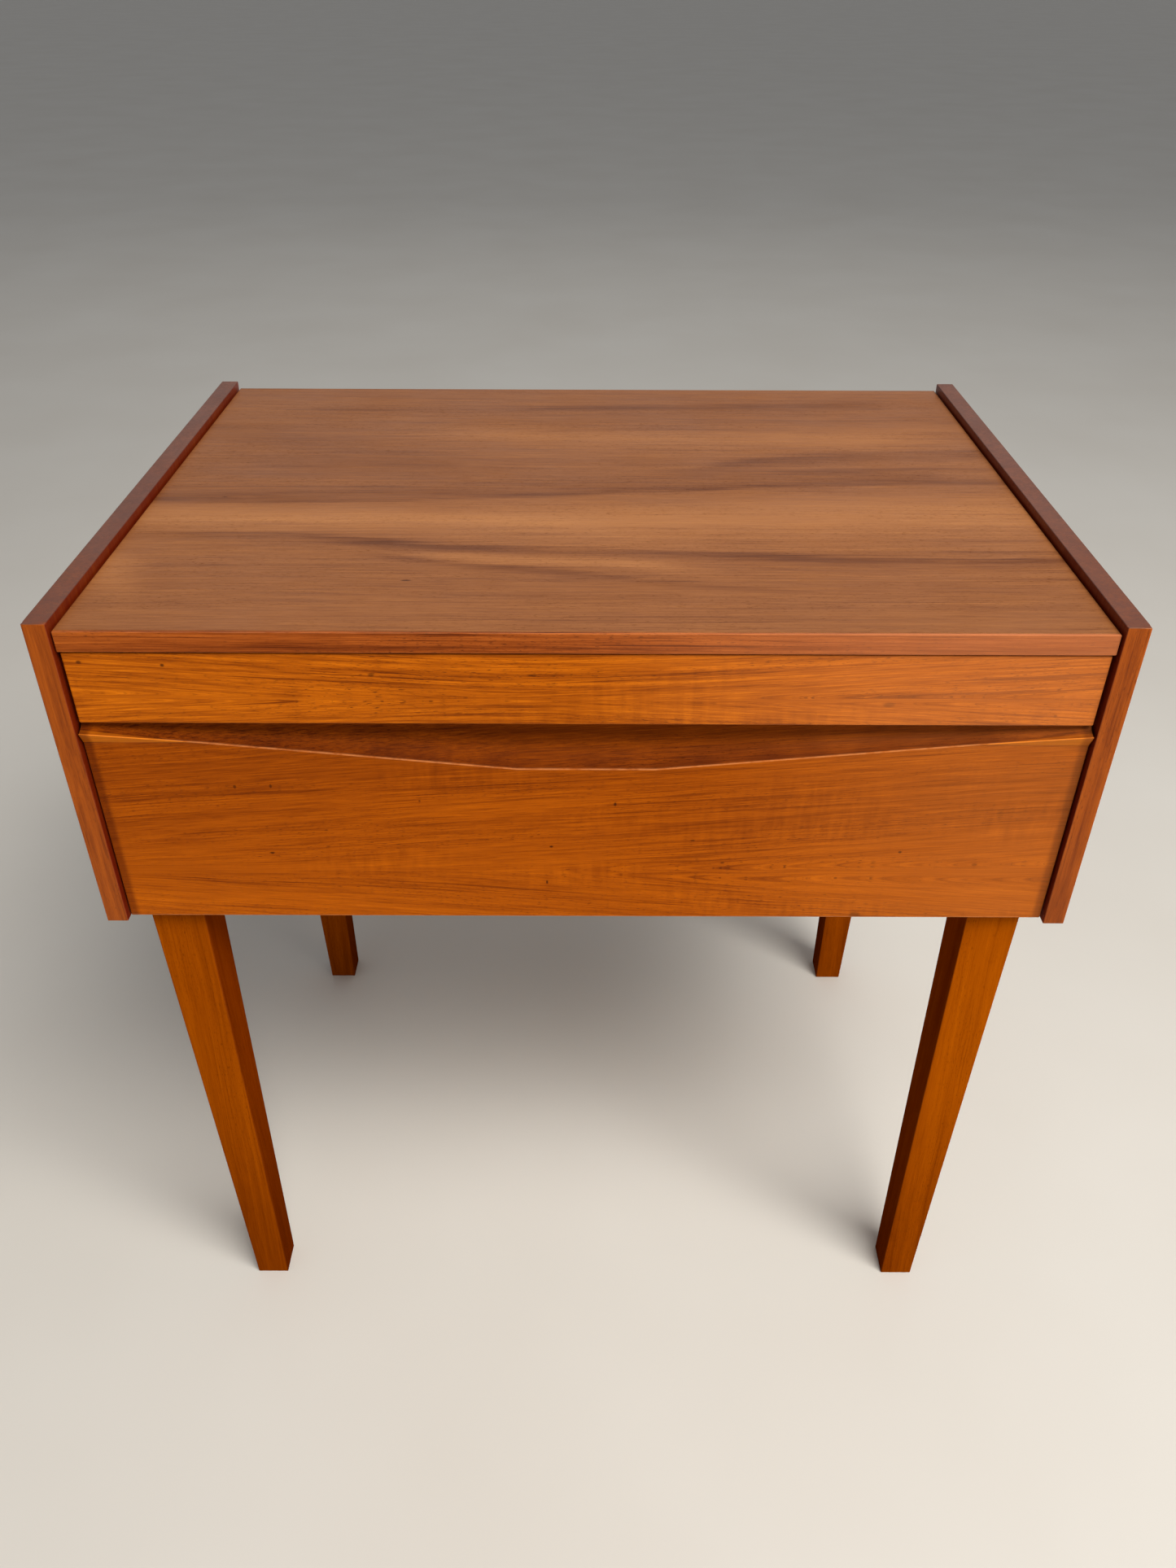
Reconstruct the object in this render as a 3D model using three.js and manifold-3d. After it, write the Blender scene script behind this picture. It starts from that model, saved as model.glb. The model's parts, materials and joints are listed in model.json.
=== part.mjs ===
// Sewing table: a two-drawer teak case on four tapered legs.
// Millimetres. The origin is on the floor under the middle of the table.
// +X is to the right as seen from the front, +Y runs to the back, +Z is up.

import * as THREE from 'three';
import { mergeVertices } from 'three/addons/utils/BufferGeometryUtils.js';
import Module from 'manifold-3d';

const wasm = await Module();
wasm.setup();

// ---------------------------------------------------------------- driving dimensions
const WIDTH = 600;
const DEPTH = 430;
const HEIGHT = 600;

const GLUE_GAP = 0.1; // glue line between two pieces that are fixed together
const CUT_GAP = 0.3; // clearance of a piece in the hole or groove that is cut for it
const EASE = 0.8; // softened arris on the pieces that show
const INNER_EASE = 0.6; // softened arris on the drawer boxes
const THIN_EASE = 0.4; // softened arris on the top, the lipping and the back panel
const TRAY_EASE = 0.5; // softened arris on the tray boards

const FRONT_Y = -DEPTH / 2;
const BACK_Y = DEPTH / 2;

// case
const SIDE_T = 13;
const SIDE_H = 208;
const SIDE_INNER_X = WIDTH / 2 - SIDE_T;
const SIDE_LOW_Z = HEIGHT - SIDE_H;
const HOUSING_DEPTH = 5;

const TOP_DROP = 5.6; // the top lies this far below the upper edges of the sides
const TOP_T = 12.4;
const TOP_HALF_W = 285.8;
const TOP_SETBACK = 2;
const LIPPING_D = 2;
const TOP_UNDER_Z = HEIGHT - TOP_DROP - TOP_T;

const BASE_LOW_Z = 393;
const BASE_T = 14;
const BASE_TOP_Z = BASE_LOW_Z + BASE_T;
const BASE_FRONT_Y = -193.5;

const BACK_PANEL_T = 6;
const BACK_PANEL_INSET = 2;
const BACK_PANEL_GAP = 0.4; // clearance round the panel
const BACK_PANEL_FRONT_Y = BACK_Y - BACK_PANEL_INSET - BACK_PANEL_T;

const RAIL_W = 30;
const RAIL_T = 18;

const CLEAT_W = 15;
const CLEAT_T = 8;
const CLEAT_TOP_Z = TOP_UNDER_Z - GLUE_GAP;
const CLEAT_LOW_Z = CLEAT_TOP_Z - CLEAT_T;

const RUNNER_W = 15;
const RUNNER_LOW_Z = 529.5;
const RUNNER_TOP_Z = 541;
const RUNNER_FRONT_Y = -193.5;
const SLIP_W = 12;
const SLIP_T = 3.4;
const SLIP_INSET = 2; // distance of a slip from the side board

// legs: the inner face and the face towards the near end of the case are upright, the other two taper
const LEG_TOP = 34;
const LEG_FOOT = 24;
const LEG_INNER_X = 243.5;
const LEG_TOP_Z = BASE_LOW_Z - GLUE_GAP;
const FRONT_LEG_FACE_Y = FRONT_Y + 12.5;
const BACK_LEG_FACE_Y = BACK_Y - 48;
const LEG_CORNER = 1.2;
const LEG_CENTRE_X = LEG_INNER_X + LEG_TOP / 2;

// screws and dowels
const SINK_GAP = 0.2; // a countersunk head lies this far below the surface
const TOP_SCREW_Y = [-130, 120];
const TOP_SCREW_X = SIDE_INNER_X - CLEAT_W / 2;
const TOP_SCREW_LENGTH = 16;
const TOP_SCREW_R = 1.75;
const TOP_SCREW_HEAD_R = 3.5;
const TOP_SCREW_SINK = 2.6;

const BACK_SCREW_LENGTH = 16;
const BACK_SCREW_R = 1.5;
const BACK_SCREW_HEAD_R = 3;
const BACK_SCREW_SINK = 2.2;
const BACK_SCREW_X = 230;

const LEG_SCREW_R = 4;
const LEG_SCREW_HEAD_R = 8;
const LEG_SCREW_HEAD_H = 5;
const LEG_SCREW_HEAD_BEVEL = [1.5, 1.2]; // inward and down
const LEG_SCREW_POINT_H = [4, 10]; // heights where the point is half as thick, and full
const LEG_SCREW_LENGTH = 70;
const LEG_SCREW_TOP_Z = BASE_TOP_Z - 0.6;
const LEG_SCREW_OUT = 3; // distance of the screw from the middle of the leg, outwards
const LEG_FIXING_DEPTH = 21; // distance of the screw and dowel behind the leg's upright face
const DOWEL_R = 4;
const DOWEL_HALF = 10;
const DOWEL_IN = 9; // distance of the dowel from the middle of the leg, inwards

// drawers
const DRAWER_HALF_W = 285;
const DRAWER_BACK_Y = 185;
const DRAWER_BACK_T = 10;
const GROOVE_DEPTH = 5;
const RUNNING_GAP = 0.4; // height of a drawer side above what it slides on
const BACK_DROP = 2; // the back of a drawer box is this much lower than its sides
const BOTTOM_BACK_GAP = 1; // the drawer bottom ends this far inside the back edge of the sides

const UPPER_FRONT_HALF_W = 284.8;
const UPPER_FRONT_Y = -211.7;
const UPPER_FRONT_T = 17.5;
const UPPER_FRONT_LOW_Z = 536.3;
const UPPER_FRONT_TOP_Z = 581.2;

const LOWER_FRONT_HALF_W = 285.8;
const LOWER_FRONT_Y = -211;
const LOWER_FRONT_T = 17;
const LOWER_FRONT_LOW_Z = 393.4;
const LOWER_FRONT_TOP_Z = 534.5;

// finger pull: the upper edge of the lower front dips to a short flat stretch in the middle
const NOSE_OUT = 4; // how far the edge stands in front of the face at the two ends
const NOSE_Z = 530.7;
const FLARE_FOOT_Z = 522.6;
const FLARE_FOOT_X = 216;
const DIP_Z = 505.4;
const DIP_HALF_W = 40;
const EDGE_T = 0.9; // width of the flat on the upper edge
const COVE_STEPS = 6;
const COVE_TURN = THREE.MathUtils.degToRad(55);
const COVE_BACK_AT_ENDS = 7; // depth of the cove behind the edge at the two ends
const TOP_FLAT = 1.2; // width of the flat that the cove leaves at the back of the top
const FOOT_EASE = 0.6; // softened arris along the bottom of the lower front
const MIN_LIP_H = 0.4; // least height of the bevel under the upper edge
const FRONT_STATIONS = [80, 125, 170, 250]; // further sections between the corners of the edge

// tray in the upper drawer
const DIVIDER_T = 6;
const DIVIDER_H = 20;
const LONG_DIVIDER_Y = -70;
const FRONT_DIVIDER_X = 137;
const REAR_DIVIDER_X = 120;
const PEG_BOARD_BACK_Y = 70;
const PEG_COLUMNS = 3;
const PEG_ROWS = 2;
const PEG_R = 3;
const PEG_H = 20;
const PEG_BOARD_T = 8;
const PEG_FOOT = 2; // a peg stands this far above the underside of its board
const PEG_TIP = [1.2, 1.5]; // bevel round the tip, inward and down

// ---------------------------------------------------------------- finishes
function wood(color, roughness) {
  return new THREE.MeshStandardMaterial({ color, roughness, metalness: 0 });
}

const TOP_VENEER = wood(0x96643c, 0.45);
const LIPPING = wood(0xa0582e, 0.45);
const FRONT_WOOD = wood(0xb4661e, 0.4);
const CASE_WOOD = wood(0x8c3f1c, 0.42);
const LEG_WOOD = wood(0xa8571a, 0.4);
const DRAWER_WOOD = wood(0xc9a878, 0.6);
const PLYWOOD = wood(0xb98d5c, 0.65);
const STEEL = new THREE.MeshStandardMaterial({ color: 0x9a9a98, roughness: 0.35, metalness: 1 });

// ---------------------------------------------------------------- groups
const table = new THREE.Group();
const upperDrawer = new THREE.Group();
const lowerDrawer = new THREE.Group();
table.add(upperDrawer, lowerDrawer);

function place(parent, name, geometry, material, position = [0, 0, 0]) {
  const mesh = new THREE.Mesh(geometry, material);
  mesh.name = name;
  mesh.position.set(...position);
  parent.add(mesh);
  return mesh;
}

// ---------------------------------------------------------------- solids
function toSolid(geometry) {
  const bare = geometry.clone();
  bare.deleteAttribute('normal');
  bare.deleteAttribute('uv');
  const merged = mergeVertices(bare, 1e-3);
  const vertProperties = new Float32Array(merged.attributes.position.array);
  const triVerts = new Uint32Array(merged.index.array);
  return new wasm.Manifold(new wasm.Mesh({ numProp: 3, vertProperties, triVerts }));
}

function toGeometry(solid) {
  const mesh = solid.getMesh();
  const geometry = new THREE.BufferGeometry();
  geometry.setAttribute('position', new THREE.BufferAttribute(mesh.vertProperties, 3));
  geometry.setIndex(new THREE.BufferAttribute(mesh.triVerts, 1));
  geometry.computeVertexNormals();
  return geometry;
}

function cutAway(geometry, cutters) {
  let solid = toSolid(geometry);
  for (const cutter of cutters) {
    solid = solid.subtract(toSolid(cutter));
  }
  return toGeometry(solid);
}

// A plain block between two corners.
function block(low, high) {
  const size = high.map((value, axis) => value - low[axis]);
  const centre = high.map((value, axis) => (value + low[axis]) / 2);
  return new THREE.BoxGeometry(...size).translate(...centre);
}

// A board between two corners whose twelve arrises are softened by a small chamfer.
function easedBoard(low, high, ease = EASE) {
  const [sizeX, sizeY, sizeZ] = high.map((value, axis) => value - low[axis]);
  const outline = new THREE.Shape();
  const x = sizeX / 2 - ease;
  const y = sizeY / 2 - ease;
  outline.moveTo(-x, -y);
  outline.lineTo(x, -y);
  outline.lineTo(x, y);
  outline.lineTo(-x, y);
  outline.closePath();
  const geometry = new THREE.ExtrudeGeometry(outline, {
    depth: sizeZ - 2 * ease,
    bevelEnabled: true,
    bevelSegments: 1,
    bevelSize: ease,
    bevelThickness: ease,
    bevelOffset: 0,
  });
  const centre = high.map((value, axis) => (value + low[axis]) / 2);
  geometry.translate(centre[0], centre[1], low[2] + ease);
  return geometry;
}

// An upright round bar, or a hole for one when it is used as a cutter.
function upright(x, y, lowZ, highZ, radius, segments = 20) {
  const bar = new THREE.CylinderGeometry(radius, radius, highZ - lowZ, segments);
  bar.rotateX(Math.PI / 2);
  return bar.translate(x, y, (lowZ + highZ) / 2);
}

// A body turned about +Z from a profile of [radius, height] points that starts and ends on the axis.
function turned(profile, segments = 16) {
  const points = profile.map(([radius, height]) => new THREE.Vector2(radius, height));
  return new THREE.LatheGeometry(points, segments).rotateX(Math.PI / 2);
}

// A countersunk wood screw along +Z: the head's face is at 0 and the point is at the full length.
function countersunkScrew(length, shankR, headR) {
  const headH = headR - shankR;
  return turned([
    [0, 0],
    [headR, 0],
    [shankR, headH],
    [shankR * 0.85, length - 3],
    [0, length],
  ]);
}

// ---------------------------------------------------------------- case
// The sides are full-height boards, housed for the ends of the base board.
function addSides() {
  const housingZ = [BASE_LOW_Z - CUT_GAP, BASE_TOP_Z + CUT_GAP];
  for (const [name, side] of [['left_side_panel', -1], ['right_side_panel', 1]]) {
    const innerX = side * SIDE_INNER_X;
    const outerX = side * WIDTH / 2;
    const board = easedBoard(
      [Math.min(innerX, outerX), FRONT_Y, SIDE_LOW_Z],
      [Math.max(innerX, outerX), BACK_Y, HEIGHT],
    );
    const housingX = [innerX - side, innerX + side * (HOUSING_DEPTH + CUT_GAP)];
    const housing = block(
      [Math.min(...housingX), BASE_FRONT_Y - CUT_GAP, housingZ[0]],
      [Math.max(...housingX), BACK_PANEL_FRONT_Y + CUT_GAP, housingZ[1]],
    );
    place(table, name, cutAway(board, [housing]), CASE_WOOD);
  }
}

// The top lies between the sides, with a solid strip along its front edge.
function topScrewHoles() {
  const holes = [];
  for (const side of [-1, 1]) {
    for (const y of TOP_SCREW_Y) {
      const tipZ = CLEAT_LOW_Z + TOP_SCREW_LENGTH + 1;
      const shank = upright(side * TOP_SCREW_X, y, CLEAT_LOW_Z - 1, tipZ, TOP_SCREW_R + CUT_GAP);
      const sinkZ = CLEAT_LOW_Z + TOP_SCREW_SINK;
      const head = upright(side * TOP_SCREW_X, y, CLEAT_LOW_Z - 1, sinkZ, TOP_SCREW_HEAD_R + CUT_GAP);
      holes.push({ side, shank, head });
    }
  }
  return holes;
}

function addTop() {
  const frontY = FRONT_Y + TOP_SETBACK;
  const jointY = frontY + LIPPING_D;
  const topZ = TOP_UNDER_Z + TOP_T;
  const board = easedBoard(
    [-TOP_HALF_W, jointY + GLUE_GAP, TOP_UNDER_Z],
    [TOP_HALF_W, BACK_Y, topZ],
    THIN_EASE,
  );
  const holes = topScrewHoles();
  place(table, 'top_board', cutAway(board, holes.map((hole) => hole.shank)), TOP_VENEER);
  const lipping = easedBoard([-TOP_HALF_W, frontY, TOP_UNDER_Z], [TOP_HALF_W, jointY, topZ], THIN_EASE);
  place(table, 'top_front_lipping', lipping, LIPPING);

  for (const [name, side] of [['top_cleat_left', -1], ['top_cleat_right', 1]]) {
    const x = [side * (SIDE_INNER_X - GLUE_GAP), side * (SIDE_INNER_X - CLEAT_W)];
    const cleat = block(
      [Math.min(...x), RUNNER_FRONT_Y, CLEAT_LOW_Z],
      [Math.max(...x), DRAWER_BACK_Y, CLEAT_TOP_Z],
    );
    const cuts = holes.filter((hole) => hole.side === side).flatMap((hole) => [hole.shank, hole.head]);
    place(table, name, cutAway(cleat, cuts), DRAWER_WOOD);
    TOP_SCREW_Y.forEach((y, index) => {
      const screw = countersunkScrew(TOP_SCREW_LENGTH, TOP_SCREW_R, TOP_SCREW_HEAD_R);
      const position = [side * TOP_SCREW_X, y, CLEAT_LOW_Z + SINK_GAP];
      const screwName = `top_screw_${side < 0 ? 'left' : 'right'}_${index + 1}`;
      place(table, screwName, screw, STEEL, position);
    });
  }
}

// Runners carry the upper drawer and keep the lower drawer from tipping as it is pulled out.
function addRunners() {
  for (const [end, side] of [['left', -1], ['right', 1]]) {
    const runnerX = [side * (SIDE_INNER_X - GLUE_GAP), side * (SIDE_INNER_X - RUNNER_W)];
    const runner = block(
      [Math.min(...runnerX), RUNNER_FRONT_Y, RUNNER_LOW_Z],
      [Math.max(...runnerX), DRAWER_BACK_Y, RUNNER_TOP_Z],
    );
    place(table, `upper_runner_${end}`, runner, DRAWER_WOOD);

    const slipOuterX = SIDE_INNER_X - SLIP_INSET;
    const slipX = [side * slipOuterX, side * (slipOuterX - SLIP_W)];
    const slipLowZ = BASE_TOP_Z + GLUE_GAP;
    const slip = block(
      [Math.min(...slipX), BASE_FRONT_Y, slipLowZ],
      [Math.max(...slipX), DRAWER_BACK_Y, slipLowZ + SLIP_T],
    );
    place(table, `lower_runner_${end}`, slip, DRAWER_WOOD);
  }
}

// ---------------------------------------------------------------- base, legs and their fixings
// Each leg's screw and dowel stand behind the front edge of the base board.
const LEGS = [
  { name: 'front_left', side: -1, faceY: FRONT_LEG_FACE_Y, inward: 1 },
  { name: 'front_right', side: 1, faceY: FRONT_LEG_FACE_Y, inward: 1 },
  { name: 'back_left', side: -1, faceY: BACK_LEG_FACE_Y, inward: -1 },
  { name: 'back_right', side: 1, faceY: BACK_LEG_FACE_Y, inward: -1 },
].map((leg) => ({
  ...leg,
  screwX: leg.side * (LEG_CENTRE_X + LEG_SCREW_OUT),
  screwY: leg.faceY + leg.inward * LEG_FIXING_DEPTH,
  dowelX: leg.side * (LEG_CENTRE_X - DOWEL_IN),
}));

// A tapered leg of square section: two faces stay upright and two lean in towards the foot.
function legGeometry(leg) {
  const ring = (size, z) => {
    const nearX = LEG_INNER_X;
    const farX = LEG_INNER_X + size;
    const nearY = leg.faceY;
    const farY = leg.faceY + leg.inward * size;
    const c = LEG_CORNER;
    const d = leg.inward * LEG_CORNER;
    const corners = [
      [nearX + c, nearY], [farX - c, nearY], [farX, nearY + d], [farX, farY - d],
      [farX - c, farY], [nearX + c, farY], [nearX, farY - d], [nearX, nearY + d],
    ];
    return corners.map(([x, y]) => new THREE.Vector3(leg.side * x, y, z));
  };
  const turnsOver = leg.side * leg.inward < 0;
  return loft([ring(LEG_FOOT, 0), ring(LEG_TOP, LEG_TOP_Z)], !turnsOver);
}

// A closed body through rings of the same number of points, capped at both ends.
// The rings run anticlockwise as seen from the last ring, or clockwise when flip is false.
function loft(rings, flip = true) {
  const count = rings[0].length;
  const positions = rings.flat().flatMap((point) => [point.x, point.y, point.z]);
  const index = [];
  const triangle = (a, b, c) => (flip ? index.push(a, b, c) : index.push(a, c, b));
  for (let step = 0; step < rings.length - 1; step += 1) {
    for (let k = 0; k < count; k += 1) {
      const next = (k + 1) % count;
      const here = step * count;
      const there = here + count;
      triangle(here + k, here + next, there + next);
      triangle(here + k, there + next, there + k);
    }
  }
  const ends = [[rings[0], 0, false], [rings.at(-1), (rings.length - 1) * count, true]];
  for (const [ring, start, end] of ends) {
    for (const [a, b, c] of capTriangles(ring)) {
      if (end) triangle(start + a, start + b, start + c);
      else triangle(start + a, start + c, start + b);
    }
  }
  const geometry = new THREE.BufferGeometry();
  geometry.setAttribute('position', new THREE.Float32BufferAttribute(positions, 3));
  geometry.setIndex(index);
  geometry.computeVertexNormals();
  return geometry;
}

// Triangles over a flat ring that lies square to one of the axes, wound the way the ring runs.
function capTriangles(ring) {
  const span = new THREE.Box3().setFromPoints(ring).getSize(new THREE.Vector3());
  const flatAlongZ = span.z < span.x;
  const outline = ring.map((point) => (
    flatAlongZ ? new THREE.Vector2(point.x, point.y) : new THREE.Vector2(point.y, point.z)
  ));
  const faces = THREE.ShapeUtils.triangulateShape(outline, []);
  const area = THREE.ShapeUtils.area(outline);
  return faces.map(([a, b, c]) => {
    const doubled = (outline[b].x - outline[a].x) * (outline[c].y - outline[a].y)
      - (outline[b].y - outline[a].y) * (outline[c].x - outline[a].x);
    return Math.sign(doubled) === Math.sign(area) ? [a, b, c] : [a, c, b];
  });
}

function addBaseAndLegs() {
  const boardHalfW = SIDE_INNER_X + HOUSING_DEPTH;
  const board = block(
    [-boardHalfW, BASE_FRONT_Y, BASE_LOW_Z],
    [boardHalfW, BACK_PANEL_FRONT_Y - GLUE_GAP, BASE_TOP_Z],
  );
  const boardCuts = [];
  const [pointHalfH, pointH] = LEG_SCREW_POINT_H;
  const [bevelIn, bevelDown] = LEG_SCREW_HEAD_BEVEL;
  for (const leg of LEGS) {
    const counterboreZ = LEG_SCREW_TOP_Z - LEG_SCREW_HEAD_H - CUT_GAP;
    const screwLowZ = LEG_SCREW_TOP_Z - LEG_SCREW_LENGTH;
    const dowelLowZ = BASE_LOW_Z - DOWEL_HALF;
    const dowelHighZ = BASE_LOW_Z + DOWEL_HALF;
    const screwHole = upright(
      leg.screwX, leg.screwY, screwLowZ - 1, BASE_TOP_Z + 1, LEG_SCREW_R + CUT_GAP,
    );
    const counterbore = upright(
      leg.screwX, leg.screwY, counterboreZ, BASE_TOP_Z + 1, LEG_SCREW_HEAD_R + CUT_GAP,
    );
    const dowelHole = upright(
      leg.dowelX, leg.screwY, dowelLowZ - CUT_GAP, dowelHighZ + CUT_GAP, DOWEL_R + CUT_GAP,
    );
    boardCuts.push(screwHole, counterbore, dowelHole);
    place(table, `leg_${leg.name}`, cutAway(legGeometry(leg), [screwHole, dowelHole]), LEG_WOOD);

    const screw = turned([
      [0, 0],
      [LEG_SCREW_R / 2, pointHalfH],
      [LEG_SCREW_R, pointH],
      [LEG_SCREW_R, LEG_SCREW_LENGTH - LEG_SCREW_HEAD_H],
      [LEG_SCREW_HEAD_R, LEG_SCREW_LENGTH - LEG_SCREW_HEAD_H],
      [LEG_SCREW_HEAD_R, LEG_SCREW_LENGTH - bevelDown],
      [LEG_SCREW_HEAD_R - bevelIn, LEG_SCREW_LENGTH],
      [0, LEG_SCREW_LENGTH],
    ]);
    place(table, `leg_screw_${leg.name}`, screw, STEEL, [leg.screwX, leg.screwY, screwLowZ]);
    const dowel = upright(0, 0, -DOWEL_HALF, DOWEL_HALF, DOWEL_R, 16);
    place(table, `leg_dowel_${leg.name}`, dowel, DRAWER_WOOD, [leg.dowelX, leg.screwY, BASE_LOW_Z]);
  }
  place(table, 'base_board', cutAway(board, boardCuts), PLYWOOD);
}

// ---------------------------------------------------------------- back
// The back panel is screwed to the rear rail under the top and to the edge of the base board.
function addBack() {
  const railBackY = BACK_PANEL_FRONT_Y - GLUE_GAP;
  const railTopZ = TOP_UNDER_Z - GLUE_GAP;
  const railLow = [-SIDE_INNER_X + GLUE_GAP, railBackY - RAIL_T, railTopZ - RAIL_W];
  const railHigh = [SIDE_INNER_X - GLUE_GAP, railBackY, railTopZ];
  const panelHalfW = SIDE_INNER_X - BACK_PANEL_GAP;
  const panelBackY = BACK_PANEL_FRONT_Y + BACK_PANEL_T;
  const panelLow = [-panelHalfW, BACK_PANEL_FRONT_Y, BASE_LOW_Z];
  const panelHigh = [panelHalfW, panelBackY, TOP_UNDER_Z - BACK_PANEL_GAP];
  const screwZ = { top: TOP_UNDER_Z - RAIL_W / 2, base: BASE_LOW_Z + BASE_T / 2 };
  const cuts = [];
  for (const [level, z] of Object.entries(screwZ)) {
    for (const side of [-1, 1]) {
      const headY = panelBackY - SINK_GAP;
      const screwX = side * BACK_SCREW_X;
      const hole = upright(0, 0, 0, BACK_SCREW_LENGTH + 1, BACK_SCREW_R + CUT_GAP);
      const sink = upright(0, 0, -1, BACK_SCREW_SINK, BACK_SCREW_HEAD_R + CUT_GAP);
      cuts.push({ level, geometry: hole.rotateX(Math.PI / 2).translate(screwX, headY, z) });
      cuts.push({ level: 'panel', geometry: sink.rotateX(Math.PI / 2).translate(screwX, headY, z) });
      const screw = countersunkScrew(BACK_SCREW_LENGTH, BACK_SCREW_R, BACK_SCREW_HEAD_R);
      const name = `back_screw_${level}_${side < 0 ? 'left' : 'right'}`;
      place(table, name, screw.rotateX(Math.PI / 2), STEEL, [screwX, headY, z]);
    }
  }
  const cutsFor = (level) => cuts.filter((cut) => cut.level === level).map((cut) => cut.geometry);
  place(table, 'rear_rail', cutAway(block(railLow, railHigh), cutsFor('top')), DRAWER_WOOD);
  const panel = easedBoard(panelLow, panelHigh, THIN_EASE);
  place(table, 'back_panel', cutAway(panel, cuts.map((cut) => cut.geometry)), PLYWOOD);
  const base = table.getObjectByName('base_board');
  base.geometry = cutAway(base.geometry, cutsFor('base'));
}

// ---------------------------------------------------------------- drawer boxes
// Two sides, a back and a bottom that slides into grooves; the front is made apart.
function addDrawerBox(group, prefix, box) {
  const outerX = DRAWER_HALF_W;
  const innerX = outerX - box.sideT;
  const bottomTopZ = box.bottomZ + box.bottomT;
  const groove = block(
    [-innerX - GROOVE_DEPTH - CUT_GAP, box.frontY - GROOVE_DEPTH - CUT_GAP, box.bottomZ - CUT_GAP],
    [innerX + GROOVE_DEPTH + CUT_GAP, DRAWER_BACK_Y + 1, bottomTopZ + CUT_GAP],
  );
  for (const [end, side] of [['left', -1], ['right', 1]]) {
    const x = [side * innerX, side * outerX];
    const board = easedBoard(
      [Math.min(...x), box.frontY + GLUE_GAP, box.lowZ],
      [Math.max(...x), DRAWER_BACK_Y, box.topZ],
      INNER_EASE,
    );
    place(group, `${prefix}_drawer_side_${end}`, cutAway(board, [groove]), DRAWER_WOOD);
  }
  const back = easedBoard(
    [-innerX + GLUE_GAP, DRAWER_BACK_Y - DRAWER_BACK_T, bottomTopZ + CUT_GAP],
    [innerX - GLUE_GAP, DRAWER_BACK_Y - GLUE_GAP, box.topZ - BACK_DROP],
    INNER_EASE,
  );
  place(group, `${prefix}_drawer_back`, back, DRAWER_WOOD);
  const bottom = block(
    [-innerX - GROOVE_DEPTH, box.frontY - GROOVE_DEPTH, box.bottomZ],
    [innerX + GROOVE_DEPTH, DRAWER_BACK_Y - BOTTOM_BACK_GAP, bottomTopZ],
  );
  place(group, `${prefix}_drawer_bottom`, bottom, PLYWOOD);
  return groove;
}

// ---------------------------------------------------------------- upper drawer with its sewing tray
const UPPER_BOX = {
  frontY: UPPER_FRONT_Y + UPPER_FRONT_T,
  sideT: 10,
  lowZ: RUNNER_TOP_Z + RUNNING_GAP,
  topZ: 571.5,
  bottomZ: 545,
  bottomT: 4,
};

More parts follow.
